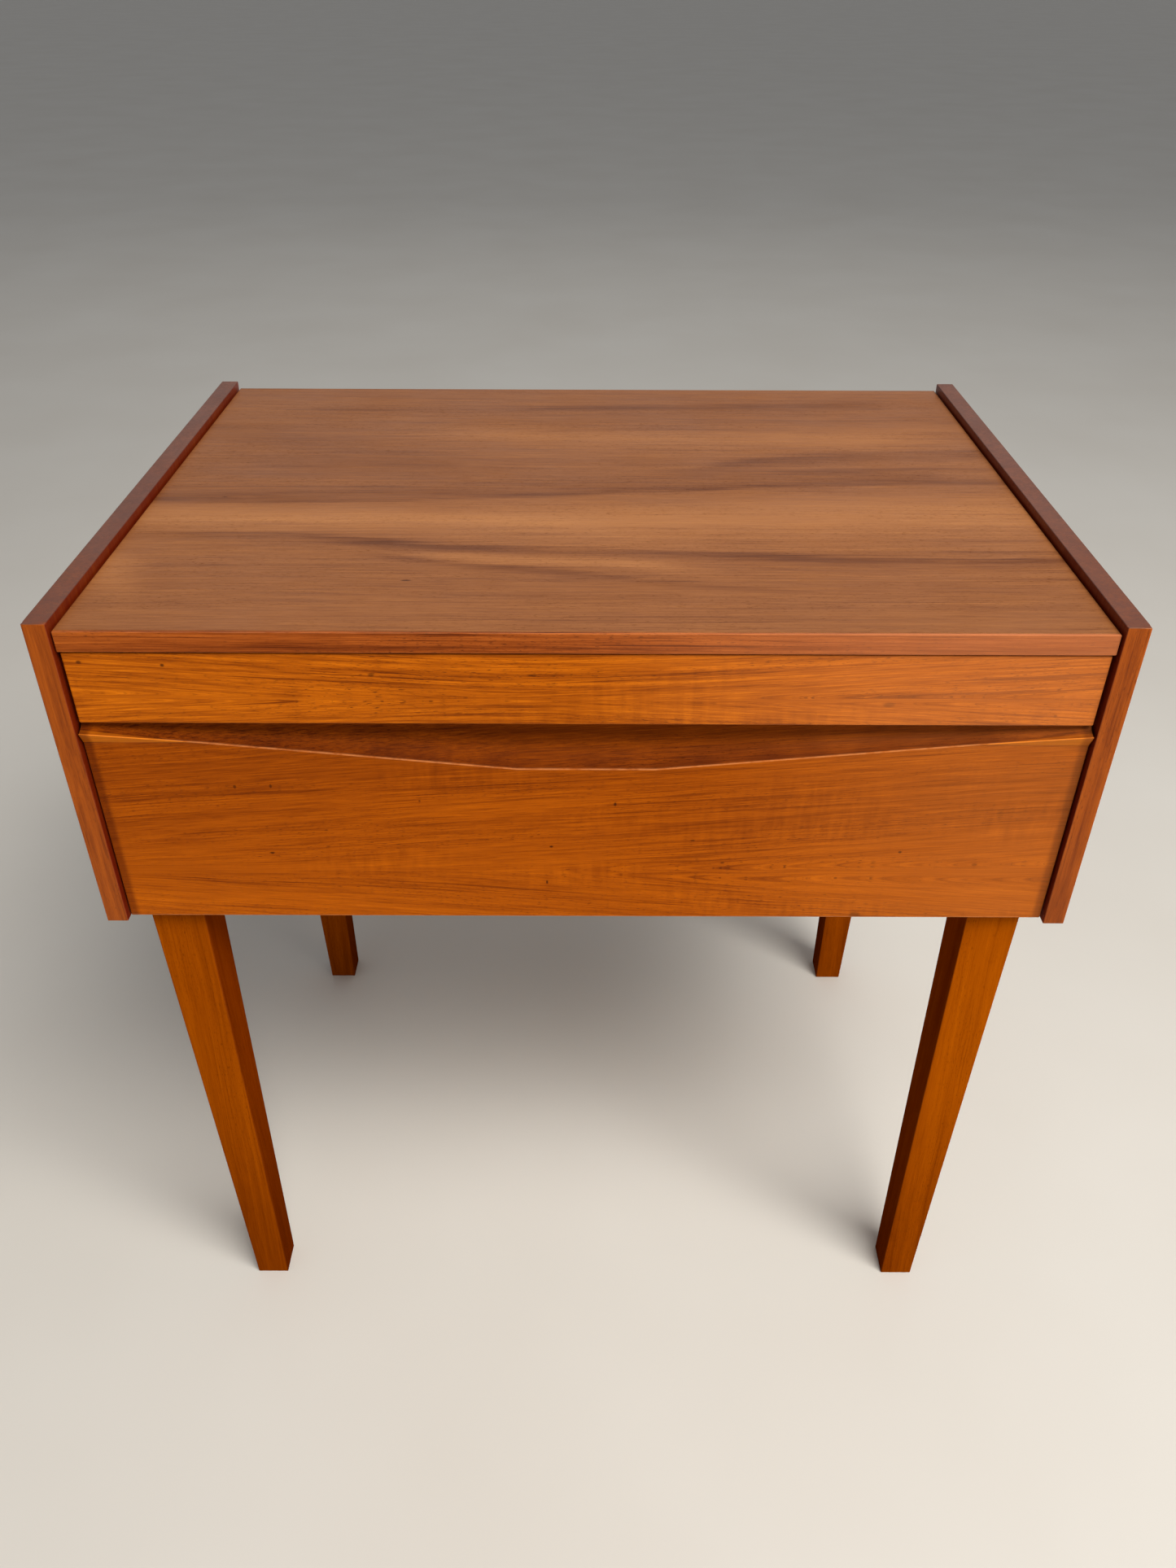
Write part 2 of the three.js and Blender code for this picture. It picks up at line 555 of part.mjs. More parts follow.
function addUpperDrawer() {
  const groove = addDrawerBox(upperDrawer, 'upper', UPPER_BOX);
  const frontBoard = easedBoard(
    [-UPPER_FRONT_HALF_W, UPPER_FRONT_Y, UPPER_FRONT_LOW_Z],
    [UPPER_FRONT_HALF_W, UPPER_BOX.frontY, UPPER_FRONT_TOP_Z],
  );
  place(upperDrawer, 'upper_drawer_front', cutAway(frontBoard, [groove]), FRONT_WOOD);

  const floorZ = UPPER_BOX.bottomZ + UPPER_BOX.bottomT + GLUE_GAP;
  const innerX = DRAWER_HALF_W - UPPER_BOX.sideT - GLUE_GAP;
  const frontY = UPPER_BOX.frontY + GLUE_GAP;
  const backY = DRAWER_BACK_Y - DRAWER_BACK_T - GLUE_GAP;
  const half = DIVIDER_T / 2;
  const longBoard = easedBoard(
    [-innerX, LONG_DIVIDER_Y - half, floorZ],
    [innerX, LONG_DIVIDER_Y + half, floorZ + DIVIDER_H],
    TRAY_EASE,
  );
  place(upperDrawer, 'tray_divider_long', longBoard, DRAWER_WOOD);
  const crossBoard = (x, fromY, toY) => easedBoard(
    [x - half, fromY, floorZ],
    [x + half, toY, floorZ + DIVIDER_H],
    TRAY_EASE,
  );
  for (const [end, side] of [['left', -1], ['right', 1]]) {
    const front = crossBoard(side * FRONT_DIVIDER_X, frontY, LONG_DIVIDER_Y - half - GLUE_GAP);
    place(upperDrawer, `tray_divider_front_${end}`, front, DRAWER_WOOD);
    const rear = crossBoard(side * REAR_DIVIDER_X, LONG_DIVIDER_Y + half + GLUE_GAP, backY);
    place(upperDrawer, `tray_divider_rear_${end}`, rear, DRAWER_WOOD);
  }

  const [tipIn, tipDown] = PEG_TIP;
  const pegBoardHalfW = REAR_DIVIDER_X - half - GLUE_GAP;
  const boardLow = [-pegBoardHalfW, LONG_DIVIDER_Y + half + GLUE_GAP, floorZ];
  const boardHigh = [pegBoardHalfW, PEG_BOARD_BACK_Y, floorZ + PEG_BOARD_T];
  const pitchX = (boardHigh[0] - boardLow[0]) / PEG_COLUMNS;
  const pitchY = (boardHigh[1] - boardLow[1]) / PEG_ROWS;
  const holes = [];
  for (let row = 0; row < PEG_ROWS; row += 1) {
    for (let column = 0; column < PEG_COLUMNS; column += 1) {
      const x = boardLow[0] + (column + 0.5) * pitchX;
      const y = boardLow[1] + (row + 0.5) * pitchY;
      const footZ = floorZ + PEG_FOOT;
      holes.push(upright(x, y, footZ - CUT_GAP, boardHigh[2] + 1, PEG_R + CUT_GAP, 16));
      const peg = turned([
        [0, 0],
        [PEG_R, 0],
        [PEG_R, PEG_H - tipDown],
        [PEG_R - tipIn, PEG_H],
        [0, PEG_H],
      ]);
      const name = `thread_peg_${row * PEG_COLUMNS + column + 1}`;
      place(upperDrawer, name, peg, DRAWER_WOOD, [x, y, footZ]);
    }
  }
  const pegBoard = cutAway(easedBoard(boardLow, boardHigh, TRAY_EASE), holes);
  place(upperDrawer, 'thread_peg_board', pegBoard, DRAWER_WOOD);
}

// ---------------------------------------------------------------- lower drawer with its finger pull
const LOWER_BOX = {
  frontY: LOWER_FRONT_Y + LOWER_FRONT_T,
  sideT: 11,
  lowZ: BASE_TOP_Z + GLUE_GAP + SLIP_T + RUNNING_GAP,
  topZ: 527,
  bottomZ: 417,
  bottomT: 5,
};

// Place of the front's upper edge at a distance x from the middle, as [y, z].
function pullEdge(x) {
  const away = Math.abs(x);
  const faceY = LOWER_FRONT_Y;
  if (away <= DIP_HALF_W) return [faceY, DIP_Z];
  if (away <= FLARE_FOOT_X) {
    const along = (away - DIP_HALF_W) / (FLARE_FOOT_X - DIP_HALF_W);
    return [faceY, THREE.MathUtils.lerp(DIP_Z, FLARE_FOOT_Z, along)];
  }
  const along = (away - FLARE_FOOT_X) / (LOWER_FRONT_HALF_W - FLARE_FOOT_X);
  return [faceY - NOSE_OUT * along, THREE.MathUtils.lerp(FLARE_FOOT_Z, NOSE_Z, along)];
}

// Section of the front at x. Behind its upper edge a cove rises to the flat top at the back.
function frontSection(x) {
  const [edgeY, edgeZ] = pullEdge(x);
  const backY = LOWER_FRONT_Y + LOWER_FRONT_T;
  const footZ = Math.min(FLARE_FOOT_Z, edgeZ - MIN_LIP_H);
  const height = LOWER_FRONT_TOP_Z - edgeZ;
  const dipShare = (NOSE_Z - edgeZ) / (NOSE_Z - DIP_Z);
  const coveBackY = THREE.MathUtils.lerp(edgeY + COVE_BACK_AT_ENDS, backY - TOP_FLAT, dipShare);
  const points = [
    [LOWER_FRONT_Y + FOOT_EASE, LOWER_FRONT_LOW_Z],
    [backY, LOWER_FRONT_LOW_Z],
    [backY, LOWER_FRONT_TOP_Z],
  ];
  // The cove is a stretch of an ellipse: upright where it meets the top, shallow behind the edge.
  const coveFrontY = edgeY + EDGE_T;
  const depthAxis = (coveBackY - coveFrontY) / (1 - Math.cos(COVE_TURN));
  const heightAxis = height / Math.sin(COVE_TURN);
  for (let step = 0; step <= COVE_STEPS; step += 1) {
    const angle = (COVE_TURN * step) / COVE_STEPS;
    points.push([
      coveBackY - depthAxis * (1 - Math.cos(angle)),
      LOWER_FRONT_TOP_Z - heightAxis * Math.sin(angle),
    ]);
  }
  points.push([edgeY, edgeZ]);
  points.push([LOWER_FRONT_Y, footZ]);
  points.push([LOWER_FRONT_Y, LOWER_FRONT_LOW_Z + FOOT_EASE]);
  return points.map(([y, z]) => new THREE.Vector3(x, y, z));
}

function addLowerDrawer() {
  const groove = addDrawerBox(lowerDrawer, 'lower', LOWER_BOX);
  const half = [DIP_HALF_W, FLARE_FOOT_X, LOWER_FRONT_HALF_W, ...FRONT_STATIONS].sort((a, b) => a - b);
  const stations = [...half.map((x) => -x).reverse(), ...half];
  const front = loft(stations.map(frontSection));
  place(lowerDrawer, 'lower_drawer_front', cutAway(front, [groove]), FRONT_WOOD);
}

addSides();
addTop();
addRunners();
addBaseAndLegs();
addBack();
addUpperDrawer();
addLowerDrawer();

export default table;
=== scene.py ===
"""Looks of a small teak sewing table: a case between two side boards, two drawers and four legs.

Metres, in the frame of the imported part: the origin is on the floor under the middle of the table,
+X to the right as seen from the front, +Y to the back and +Z up.
"""

import json
import math

import bmesh
import bpy
from mathutils import Matrix, Vector, noise


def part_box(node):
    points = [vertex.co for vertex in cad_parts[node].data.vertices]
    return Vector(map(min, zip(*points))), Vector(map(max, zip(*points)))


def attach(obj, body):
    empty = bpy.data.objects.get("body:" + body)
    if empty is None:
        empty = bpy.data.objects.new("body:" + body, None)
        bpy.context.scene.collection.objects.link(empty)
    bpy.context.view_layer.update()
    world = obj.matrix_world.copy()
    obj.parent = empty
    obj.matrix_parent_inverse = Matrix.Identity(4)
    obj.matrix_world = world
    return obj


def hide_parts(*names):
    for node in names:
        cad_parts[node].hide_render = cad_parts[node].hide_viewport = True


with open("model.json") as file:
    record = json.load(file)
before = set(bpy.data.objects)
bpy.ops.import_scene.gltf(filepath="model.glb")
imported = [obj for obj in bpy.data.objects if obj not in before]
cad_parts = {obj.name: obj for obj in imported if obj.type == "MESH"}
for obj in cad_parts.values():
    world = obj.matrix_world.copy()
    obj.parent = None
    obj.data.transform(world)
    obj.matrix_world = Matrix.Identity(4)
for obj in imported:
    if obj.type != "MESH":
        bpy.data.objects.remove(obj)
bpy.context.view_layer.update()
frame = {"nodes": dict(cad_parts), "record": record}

MM = 0.001
NODES = frame["nodes"]
RECORD = frame["record"]
BODY_OF = {n: body for body, names in RECORD["behaviour"]["bodies"].items() for n in names}
SLOT_OF = {row["node"]: row["material_slot"] for row in RECORD["subparts"]}
SCENE = bpy.context.scene


# ------------ camera
CAMERA_AT = (-0.00018, -0.78657, 0.89697)
CAMERA_PITCH = math.radians(34.915)
CAMERA_YAW = math.radians(0.114)
CAMERA_ROLL = math.radians(0.25)
CAMERA_LENS = 27.7
SENSOR = 36.0


def make_camera():
    """A camera above the front of the table that looks down at it."""
    sin, cos = math.sin, math.cos
    flat = cos(CAMERA_PITCH)
    ahead = Vector((sin(CAMERA_YAW) * flat, cos(CAMERA_YAW) * flat, -sin(CAMERA_PITCH)))
    level = Vector((cos(CAMERA_YAW), -sin(CAMERA_YAW), 0.0))
    upward = level.cross(ahead)
    right = level * cos(CAMERA_ROLL) + upward * sin(CAMERA_ROLL)
    up = upward * cos(CAMERA_ROLL) - level * sin(CAMERA_ROLL)
    data = bpy.data.cameras.new("camera")
    data.sensor_width = SENSOR
    data.lens = CAMERA_LENS
    data.clip_start = 0.02
    data.clip_end = 60.0
    camera = bpy.data.objects.new("camera", data)
    turn = Matrix((right, up, -ahead)).transposed().to_4x4()
    camera.matrix_world = Matrix.Translation(CAMERA_AT) @ turn
    SCENE.collection.objects.link(camera)
    SCENE.camera = camera


# ------------ node writing
def linear(hex_colour):
    """A display colour such as "b4661e" as a linear RGBA value."""
    channels = []
    for i in (0, 2, 4):
        c = int(hex_colour[i : i + 2], 16) / 255
        channels.append(c / 12.92 if c <= 0.04045 else ((c + 0.055) / 1.055) ** 2.4)
    return (*channels, 1.0)


class Web:
    """Writes the nodes of one material."""

    def __init__(self, name):
        self.material = bpy.data.materials.new(name)
        self.material.use_nodes = True
        self.tree = self.material.node_tree
        self.tree.nodes.clear()
        self.shader = self.node("BsdfPrincipled")
        self.node("OutputMaterial", {"Surface": self.shader.outputs["BSDF"]})
        self.coordinates = self.node("TexCoord")

    def node(self, kind, inputs=None, **settings):
        """Makes a node with settings, and with inputs that are outputs of others or constants."""
        node = self.tree.nodes.new("ShaderNode" + kind)
        for name, value in settings.items():
            setattr(node, name, value)
        for name, value in (inputs or {}).items():
            self.put(node.inputs[name], value)
        return node

    def put(self, socket, value):
        """Links value to the socket if it is an output, and sets it otherwise."""
        if isinstance(value, bpy.types.NodeSocket):
            self.tree.links.new(value, socket)
        else:
            socket.default_value = value

    def math(self, operation, *values, clamp=False):
        inputs = dict(enumerate(values))
        return self.node("Math", inputs, operation=operation, use_clamp=clamp).outputs[0]

    def add(self, a, b):
        return self.math("ADD", a, b)

    def mul(self, a, b):
        return self.math("MULTIPLY", a, b)

    def swing(self, value, amount):
        """How far a noise value is from its middle, times an amount."""
        return self.mul(self.add(value, -0.5), amount)

    def total(self, *values):
        found = values[0]
        for value in values[1:]:
            found = self.add(found, value)
        return found

    def span(self, value, low, high, to_low=0.0, to_high=1.0):
        """Value mapped smoothly from low..high to to_low..to_high, held at the ends."""
        limits = {"From Min": low, "From Max": high, "To Min": to_low, "To Max": to_high}
        inputs = {"Value": value, **limits}
        node = self.node("MapRange", inputs, interpolation_type="SMOOTHSTEP", clamp=True)
        return node.outputs["Result"]

    def combine(self, *values):
        return self.node("CombineXYZ", dict(enumerate(values))).outputs[0]

    def split(self, kind):
        """X, Y and Z of the point, or of the surface normal there, in the frame of the part."""
        return list(self.node("SeparateXYZ", {0: self.coordinates.outputs[kind]}).outputs)

    def noise(self, vector, detail=2.0, roughness=0.5, distortion=0.0):
        inputs = {"Vector": vector, "Scale": 1.0, "Detail": detail}
        inputs |= {"Roughness": roughness, "Distortion": distortion}
        return self.node("TexNoise", inputs).outputs["Fac"]

    def cells(self, axes, counts):
        """A place for noise, with its cells per metre along each of three coordinates."""
        return self.combine(*[self.mul(a, count) for a, count in zip(axes, counts)])

    def speckle(self, point, count, detail, roughness=0.5):
        """Noise with the same number of cells per metre in every direction."""
        return self.noise(self.cells(point, (count,) * 3), detail, roughness)

    def curve(self, value, points):
        """A smooth curve through points of (value, result), both from 0 to 1."""
        node = self.node("FloatCurve", {"Value": value})
        line = node.mapping.curves[0]
        line.points[0].location = points[0]
        line.points[1].location = points[-1]
        for place in points[1:-1]:
            line.points.new(*place)
        node.mapping.update()
        return node.outputs[0]

    def ramp(self, value, stops):
        """Colours along value from stops of (place, display colour or linear value)."""
        node = self.node("ValToRGB", {"Fac": value})
        band = node.color_ramp
        band.elements.remove(band.elements[1])
        for number, (place, colour) in enumerate(stops):
            element = band.elements.new(place) if number else band.elements[0]
            element.position = place
            element.color = linear(colour) if isinstance(colour, str) else colour
        return node.outputs["Color"]

    def mix(self, share, a, b, kind="MIX"):
        node = self.node("Mix", {0: share}, data_type="RGBA", blend_type=kind)
        first, second = [socket for socket in node.inputs if socket.type == "RGBA"]
        self.put(first, a)
        self.put(second, b)
        return next(socket for socket in node.outputs if socket.type == "RGBA")

    def attribute(self, name):
        return self.node("Attribute", attribute_name=name).outputs["Fac"]

    def bump(self, height, distance, strength):
        inputs = {"Strength": strength, "Distance": distance, "Height": height}
        return self.node("Bump", inputs).outputs["Normal"]

    def finish(self, colour, roughness, normal, **values):
        """Feeds the shader; values are constants for its other sockets, with _ for a space."""
        self.put(self.shader.inputs["Base Color"], colour)
        self.put(self.shader.inputs["Roughness"], roughness)
        if normal is not None:
            self.put(self.shader.inputs["Normal"], normal)
        for name, value in values.items():
            self.shader.inputs[name.replace("_", " ")].default_value = value
        return self.material


# ------------ wood
AXIS = {"x": 0, "y": 1, "z": 2}
EDGE = "edge"  # attribute on built pieces: distance from the nearest arris, in metres
PULL = "pull"  # attribute on the lower front: 1 inside the finger pull
WARM_SHEEN = (1.0, 0.72, 0.46, 1.0)  # the lacquer reflects a little warm
STREAK_REACH = 240.0  # millimetres that a streak may wander to either side of its first point

# Brightness along a wood's range of colours, and how strongly red, green and blue follow it:
# darker is redder and lighter is more yellow.
BRIGHTNESS = {0.0: 0.30, 0.2: 0.52, 0.4: 0.82, 0.5: 1.0, 0.62: 1.22, 0.8: 1.55, 1.0: 1.9}
FOLLOWS = (0.85, 1.1, 1.25)

# Noise layers of a wood: cells per metre across and along the fibres, detail, roughness and offset
LAYERS = {
    "slow": (24.0, 1.8, 2.0, 0.5, 0.0),
    "rings": (190.0, 2.4, 1.0, 0.5, 3.1),
    "fibres": (560.0, 11.0, 3.0, 0.65, 7.7),
    "threads": (2100.0, 45.0, 2.0, 0.6, 1.3),
    "streaks": (800.0, 7.0, 2.0, 0.6, 4.4),
    "crowds": (60.0, 5.0, 1.0, 0.5, 9.2),
    "breaks": (90.0, 7.0, 2.0, 0.6, 2.2),
    "dashes": (2600.0, 260.0, 1.0, 0.5, 5.9),
}
DEPTH_CELLS = 0.8  # cells through the board for each cell across it
FLAME_TURN = 0.04  # roundness of a flame's point, in metres
NO_EDGE = (0.0, "000000", 1.0)  # arrises with the same finish as the faces
KNOT_COLOUR = "3a1403"
# colour that darkens the finger pull: dirt and painted shade
PULL_DIRT_AND_SHADE_COLOUR = "7a5c44"
BUMP_DEPTH = 0.00012


def streak(web, along, across, line, widths, x_range, fade):
    """A soft band whose middle follows line, points of (along, across) in millimetres.

    widths are the distances over which it fades on the low and on the high side, and it comes and
    goes over the distance fade at the two ends of x_range.
    """
    low, high = x_range
    start, centre = line[0]
    length = line[-1][0] - start
    share = web.math("DIVIDE", web.add(along, -start * MM), length * MM, clamp=True)
    width = 2 * STREAK_REACH
    points = [((x - start) / length, (y - centre + STREAK_REACH) / width) for x, y in line]
    middle = web.add(web.swing(web.curve(share, points), width * MM), centre * MM)
    off = web.math("SUBTRACT", across, middle)
    below = web.span(off, -widths[0] * MM, 0.0)
    above = web.span(off, 0.0, widths[1] * MM, 1.0, 0.0)
    entry = web.span(along, (low - fade) * MM, (low + fade) * MM)
    leave = web.span(along, (high - fade) * MM, (high + fade) * MM, 1.0, 0.0)
    return web.mul(web.mul(entry, leave), web.mul(below, above))


def palette(hex_colour):
    """Colours from dark to light round a middle one."""
    middle = linear(hex_colour)
    stops = []
    for place, factor in BRIGHTNESS.items():
        channels = tuple(part * factor**power for part, power in zip(middle, FOLLOWS))
        stops.append((place, channels + (1.0,)))
    return stops


def wood(
    name, grain, across, colour, seed=0.0, slope=0.0, apex=None, warp=1.5, tone=0.08, ring=0.05,
    fibre=0.08, fine=0.06, lines=0.10, figure=0.0, pores=0.5, pore_colour="3a1604", bands=(),
    knots=(), shades=(), zones=(), edge=NO_EDGE, gloss=0.38, specular=0.3, relief=1.0,
    grime_and_shade=0.0,
):
    """Straight or flamed wood, with all its lengths in millimetres.

    grain and across are the axes that the fibres follow and that the main face spreads over.
    slope is how far the fibres lean across as they run along, and warp how much they wander.
    apex is (across, along, lean, soft) for flames that open away from a point.
    tone, ring, fibre and fine are the strengths of the pattern from broad to thread-thin.
    lines, figure and pores are the strengths of dark lines, of ripples over the grain and of pores.
    bands are (line, widths, range, fade, strength): above zero darker, below zero lighter.
    knots are dark spots of (along, across, length, width, strength).
    shades are (axis, from, to, strength) and darken or lighten slowly along an axis.
    zones are (axis, from, to, colour, strength, kind) and colour one side of a piece, mostly as
    painted light or shade.
    edge is (strength, colour, width) of the finish on the arrises.
    gloss is the roughness of the finish, specular its reflection and relief the depth of the grain.
    The last argument sets how much the finger pull is darkened: partly dirt, partly painted shade.
    """
    web = Web(name)
    point = web.split("Object")
    u = point[AXIS[grain]]
    v = point[AXIS[across]]
    w = point[3 - AXIS[grain] - AXIS[across]]
    shift = 0.37 * seed

    def cloud(along, aside, through, detail, roughness=0.5):
        """Noise over the straight axes, with its cells per metre along, across and through."""
        depth = web.add(web.mul(w, through), shift)
        place = web.combine(web.mul(u, along), web.mul(v, aside), depth)
        return web.noise(place, detail, roughness)

    # A slow wander bends the fibres; flames are contours of a cone seen at a slant.
    wander = cloud(5.0, 9.0, 6.0, 2.0)
    drift = web.swing(wander, 4.0 * warp * MM)
    bent = web.total(v, web.mul(u, slope), drift)
    if apex:
        place, start, lean, soft = apex
        aside = web.add(bent, -place * MM)
        spread_out = web.math("SQRT", web.add(web.mul(aside, aside), (soft * MM) ** 2))
        ahead = web.add(u, -start * MM)
        if lean > 0:
            ahead = web.math("SQRT", web.add(web.mul(ahead, ahead), FLAME_TURN**2))
        flames = web.math("SUBTRACT", spread_out, web.mul(ahead, abs(lean)))
        flow = web.mul(flames, web.math("DIVIDE", aside, spread_out))
        flames = web.add(flames, web.mul(bent, 0.3))
    else:
        flow = flames = bent

    def layer(name, way=flow):
        """One of the noise layers, along a coordinate that follows the fibres."""
        per_flow, per_u, detail, roughness, offset = LAYERS[name]
        side = web.add(web.mul(way, per_flow), shift + offset)
        place = web.combine(side, web.mul(u, per_u), web.mul(w, per_flow * DEPTH_CELLS))
        return web.noise(place, detail, roughness)

    def strength(value, amount):
        return web.swing(value, 5.0 * amount)

    slow = layer("slow")
    rings = layer("rings", flames)
    fibres = layer("fibres")
    threads = layer("threads")
    streaks = layer("streaks")
    value = web.total(0.5, strength(slow, tone), strength(rings, ring))
    value = web.total(value, strength(fibres, fibre), strength(threads, fine))
    crowd = web.span(layer("crowds"), 0.36, 0.62, 0.3, 1.0)
    if lines:
        dark_lines = web.mul(web.span(streaks, 0.54, 0.68), crowd)
        value = web.add(value, web.mul(dark_lines, -2.0 * lines))
    if figure:
        # a cross figure: short ripples that run over the grain
        ripple = web.noise(web.cells((u, flow, w), (210.0, 45.0, 60.0)))
        patch = web.noise(web.combine(web.mul(u, 7.0), web.mul(v, 18.0), shift), 1.0)
        patch = web.span(patch, 0.45, 0.65)
        value = web.add(value, web.mul(web.mul(web.add(ripple, -0.5), patch), figure))
    if bands:
        shaken = [web.mul(strength(rings, 1.0), 3 * MM), web.mul(strength(fibres, 1.0), 1.6 * MM)]
        ragged = web.total(bent, *shaken)
        uneven = web.span(layer("breaks"), 0.3, 0.62, 0.45, 1.15)
        for line, widths, x_range, fade, amount in bands:
            share = streak(web, u, ragged, line, widths, x_range, fade)
            if amount > 0:
                share = web.mul(share, uneven)
            value = web.add(value, web.mul(share, -amount))
    for axis, low, high, amount in shades:
        value = web.add(value, web.span(point[AXIS[axis]], low * MM, high * MM, 0.0, -amount))
    tint = web.ramp(value, palette(colour))

    # pores: short dark dashes along the fibres
    hole = web.mul(web.span(layer("dashes"), 0.60, 0.72), crowd)
    tint = web.mix(web.mul(hole, pores), tint, linear(pore_colour))

    for along, aside, length, width, amount in knots:
        du = web.mul(web.add(u, -along * MM), 1.0 / (length * MM))
        dv = web.mul(web.add(v, -aside * MM), 1.0 / (width * MM))
        away = web.math("SQRT", web.add(web.mul(du, du), web.mul(dv, dv)))
        spot = web.span(web.add(web.swing(fibres, 1.6), away), 0.45, 1.1, 1.0, 0.0)
        tint = web.mix(web.mul(spot, amount), tint, linear(KNOT_COLOUR))

    # the arrises are handled most, so their finish is thinner or darker there
    amount, edge_colour, width = edge
    if amount:
        near = web.span(web.attribute(EDGE), 0.15 * width * MM, width * MM, 1.0, 0.0)
        near = web.mul(near, web.span(web.speckle(point, 120.0, 3.0, 0.6), 0.3, 0.6, 0.35, 1.0))
        tint = web.mix(web.mul(near, amount), tint, linear(edge_colour))

    for axis, start, end, stain, amount, kind in zones:
        uneven = web.span(fibres, 0.35, 0.65, 0.8, 1.0)
        share = web.mul(web.span(point[AXIS[axis]], start * MM, end * MM, 0.0, amount), uneven)
        tint = web.mix(share, tint, linear(stain), kind)

    if grime_and_shade:
        # the finger pull is darkened: dirt where hands reach in, and painted shade under the upper
        # front
        patchy = web.span(web.speckle(point, 30.0, 3.0, 0.6), 0.3, 0.7, 0.75, 1.0)
        share = web.mul(web.mul(web.attribute(PULL), patchy), grime_and_shade)
        tint = web.mix(share, tint, linear(PULL_DIRT_AND_SHADE_COLOUR), "MULTIPLY")

    smears = cloud(14.0, 20.0, 20.0, 3.0, 0.6)
    rough = web.total(gloss, web.swing(smears, 0.25), web.swing(fibres, 0.25), web.mul(hole, 0.2))
    if grime_and_shade:
        rough = web.add(rough, web.mul(web.attribute(PULL), 0.4))
    height = web.total(web.mul(fibres, 0.6), web.mul(threads, 0.5), web.mul(hole, -0.9))
    normal = web.bump(height, BUMP_DEPTH, 0.35 * relief)
    return web.finish(tint, rough, normal, Specular_IOR_Level=specular, Specular_Tint=WARM_SHEEN)


# ------------ other finishes
PLY_ROUGHNESS = 0.55
SCRATCHES = (5000.0, 900.0, 900.0)  # cells per metre of the marks on steel, along each axis


def plywood(name, through, grain, colour, seed, plies, low, high):
    """A board of crossed plies between low and high: a veneer face, and stripes on its edges."""
    web = Web(name)
    point = web.split("Object")
    t = point[AXIS[through]]
    u = point[AXIS[grain]]
    v = point[3 - AXIS[through] - AXIS[grain]]
    face = web.span(web.math("ABSOLUTE", web.split("Normal")[AXIS[through]]), 0.5, 0.8)
    shift = 0.61 * seed
    place = web.combine(web.mul(u, 2.0), web.add(web.mul(v, 55.0), shift), web.mul(t, 40.0))
    slow = web.noise(place, 2.0, 0.5, distortion=0.6)
    place = web.combine(web.mul(u, 14.0), web.add(web.mul(v, 900.0), shift), web.mul(t, 700.0))
    fibres = web.noise(place, 2.0, 0.6)
    value = web.total(0.5, web.swing(slow, 0.5), web.swing(fibres, 0.35))
    stops = palette(colour)
    veneer = web.ramp(value, stops)
    layer = web.math("FRACT", web.mul(web.add(t, -low), plies / (2.0 * (high - low))))
    dark = web.span(web.math("ABSOLUTE", web.add(layer, -0.5)), 0.22, 0.28)
    grainy = web.speckle(point, 900.0, 2.0)
    edge_value = web.total(0.6, web.mul(dark, -0.32), web.swing(grainy, 0.4))
    tint = web.mix(face, web.ramp(edge_value, stops), veneer)
    rough = web.add(PLY_ROUGHNESS, web.swing(fibres, 0.25))
    normal = web.bump(web.add(fibres, web.mul(grainy, 0.4)), 0.0001, 0.3)
    return web.finish(tint, rough, normal, Specular_IOR_Level=0.3)


def steel(name, seed):
    """Zinc-plated steel with fine turning marks and dull patches."""
    web = Web(name)
    point = web.split("Object")
    cloud = web.noise(web.combine(*[web.add(web.mul(a, 600.0), seed) for a in point]), 3.0, 0.6)
    scratch = web.noise(web.cells(point, SCRATCHES))
    colour = web.ramp(cloud, [(0.3, "8e8d86"), (0.7, "b9b8b2")])
    rough = web.total(0.34, web.swing(cloud, 0.3), web.swing(scratch, 0.2))
    return web.finish(colour, rough, web.bump(scratch, 0.00003, 0.3), Metallic=1.0)


# ------------ meshes
ARRIS_STEPS = (15.0, 30.0, 45.0)  # degrees round half of a rounded arris
NEAR_EDGE = (0.0015, 0.005, 0.018)  # rows that hold the distance from the arris
MIN_MIDDLE = 0.004  # such rows stop short of the middle of a face by at least this
CLOSE = 2e-5  # rows nearer to each other than this are one
WAVE_CELLS = 9.0  # waves per metre that planing leaves on a face
WAVE = 0.00006  # and their height
CRISP = 0.0006  # radii of the arrises of the built boards
SOFT = 0.0009
SHARP_ANGLE = math.radians(38)
BEVEL_ANGLE = math.radians(35)


def rows_along(half, radius, spacing, extra=()):
    """Grid places over -half..half, close together at the rounded ends, and those in extra."""
    flat = half - radius
    places = {0.0}
    for side in (-1, 1):
        for degrees in ARRIS_STEPS:
            places.add(side * (flat + radius * math.tan(math.radians(degrees))))
        places.add(side * flat)
        for step in NEAR_EDGE:
            if flat - step > MIN_MIDDLE:
                places.add(side * (flat - step))
    inner = 0.0
    if flat > 2 * NEAR_EDGE[-1]:
        inner = max(place for place in places if place < flat - NEAR_EDGE[-1] + 1e-9)
    count = max(1, round(2 * inner / spacing)) if inner > spacing else 0
    for k in range(1, count):
        places.add(-inner + 2 * inner * k / count)
    places.update(extra)
    found = []
    for place in sorted(places):
        if not found or place - found[-1] > CLOSE:
            found.append(place)
    return found


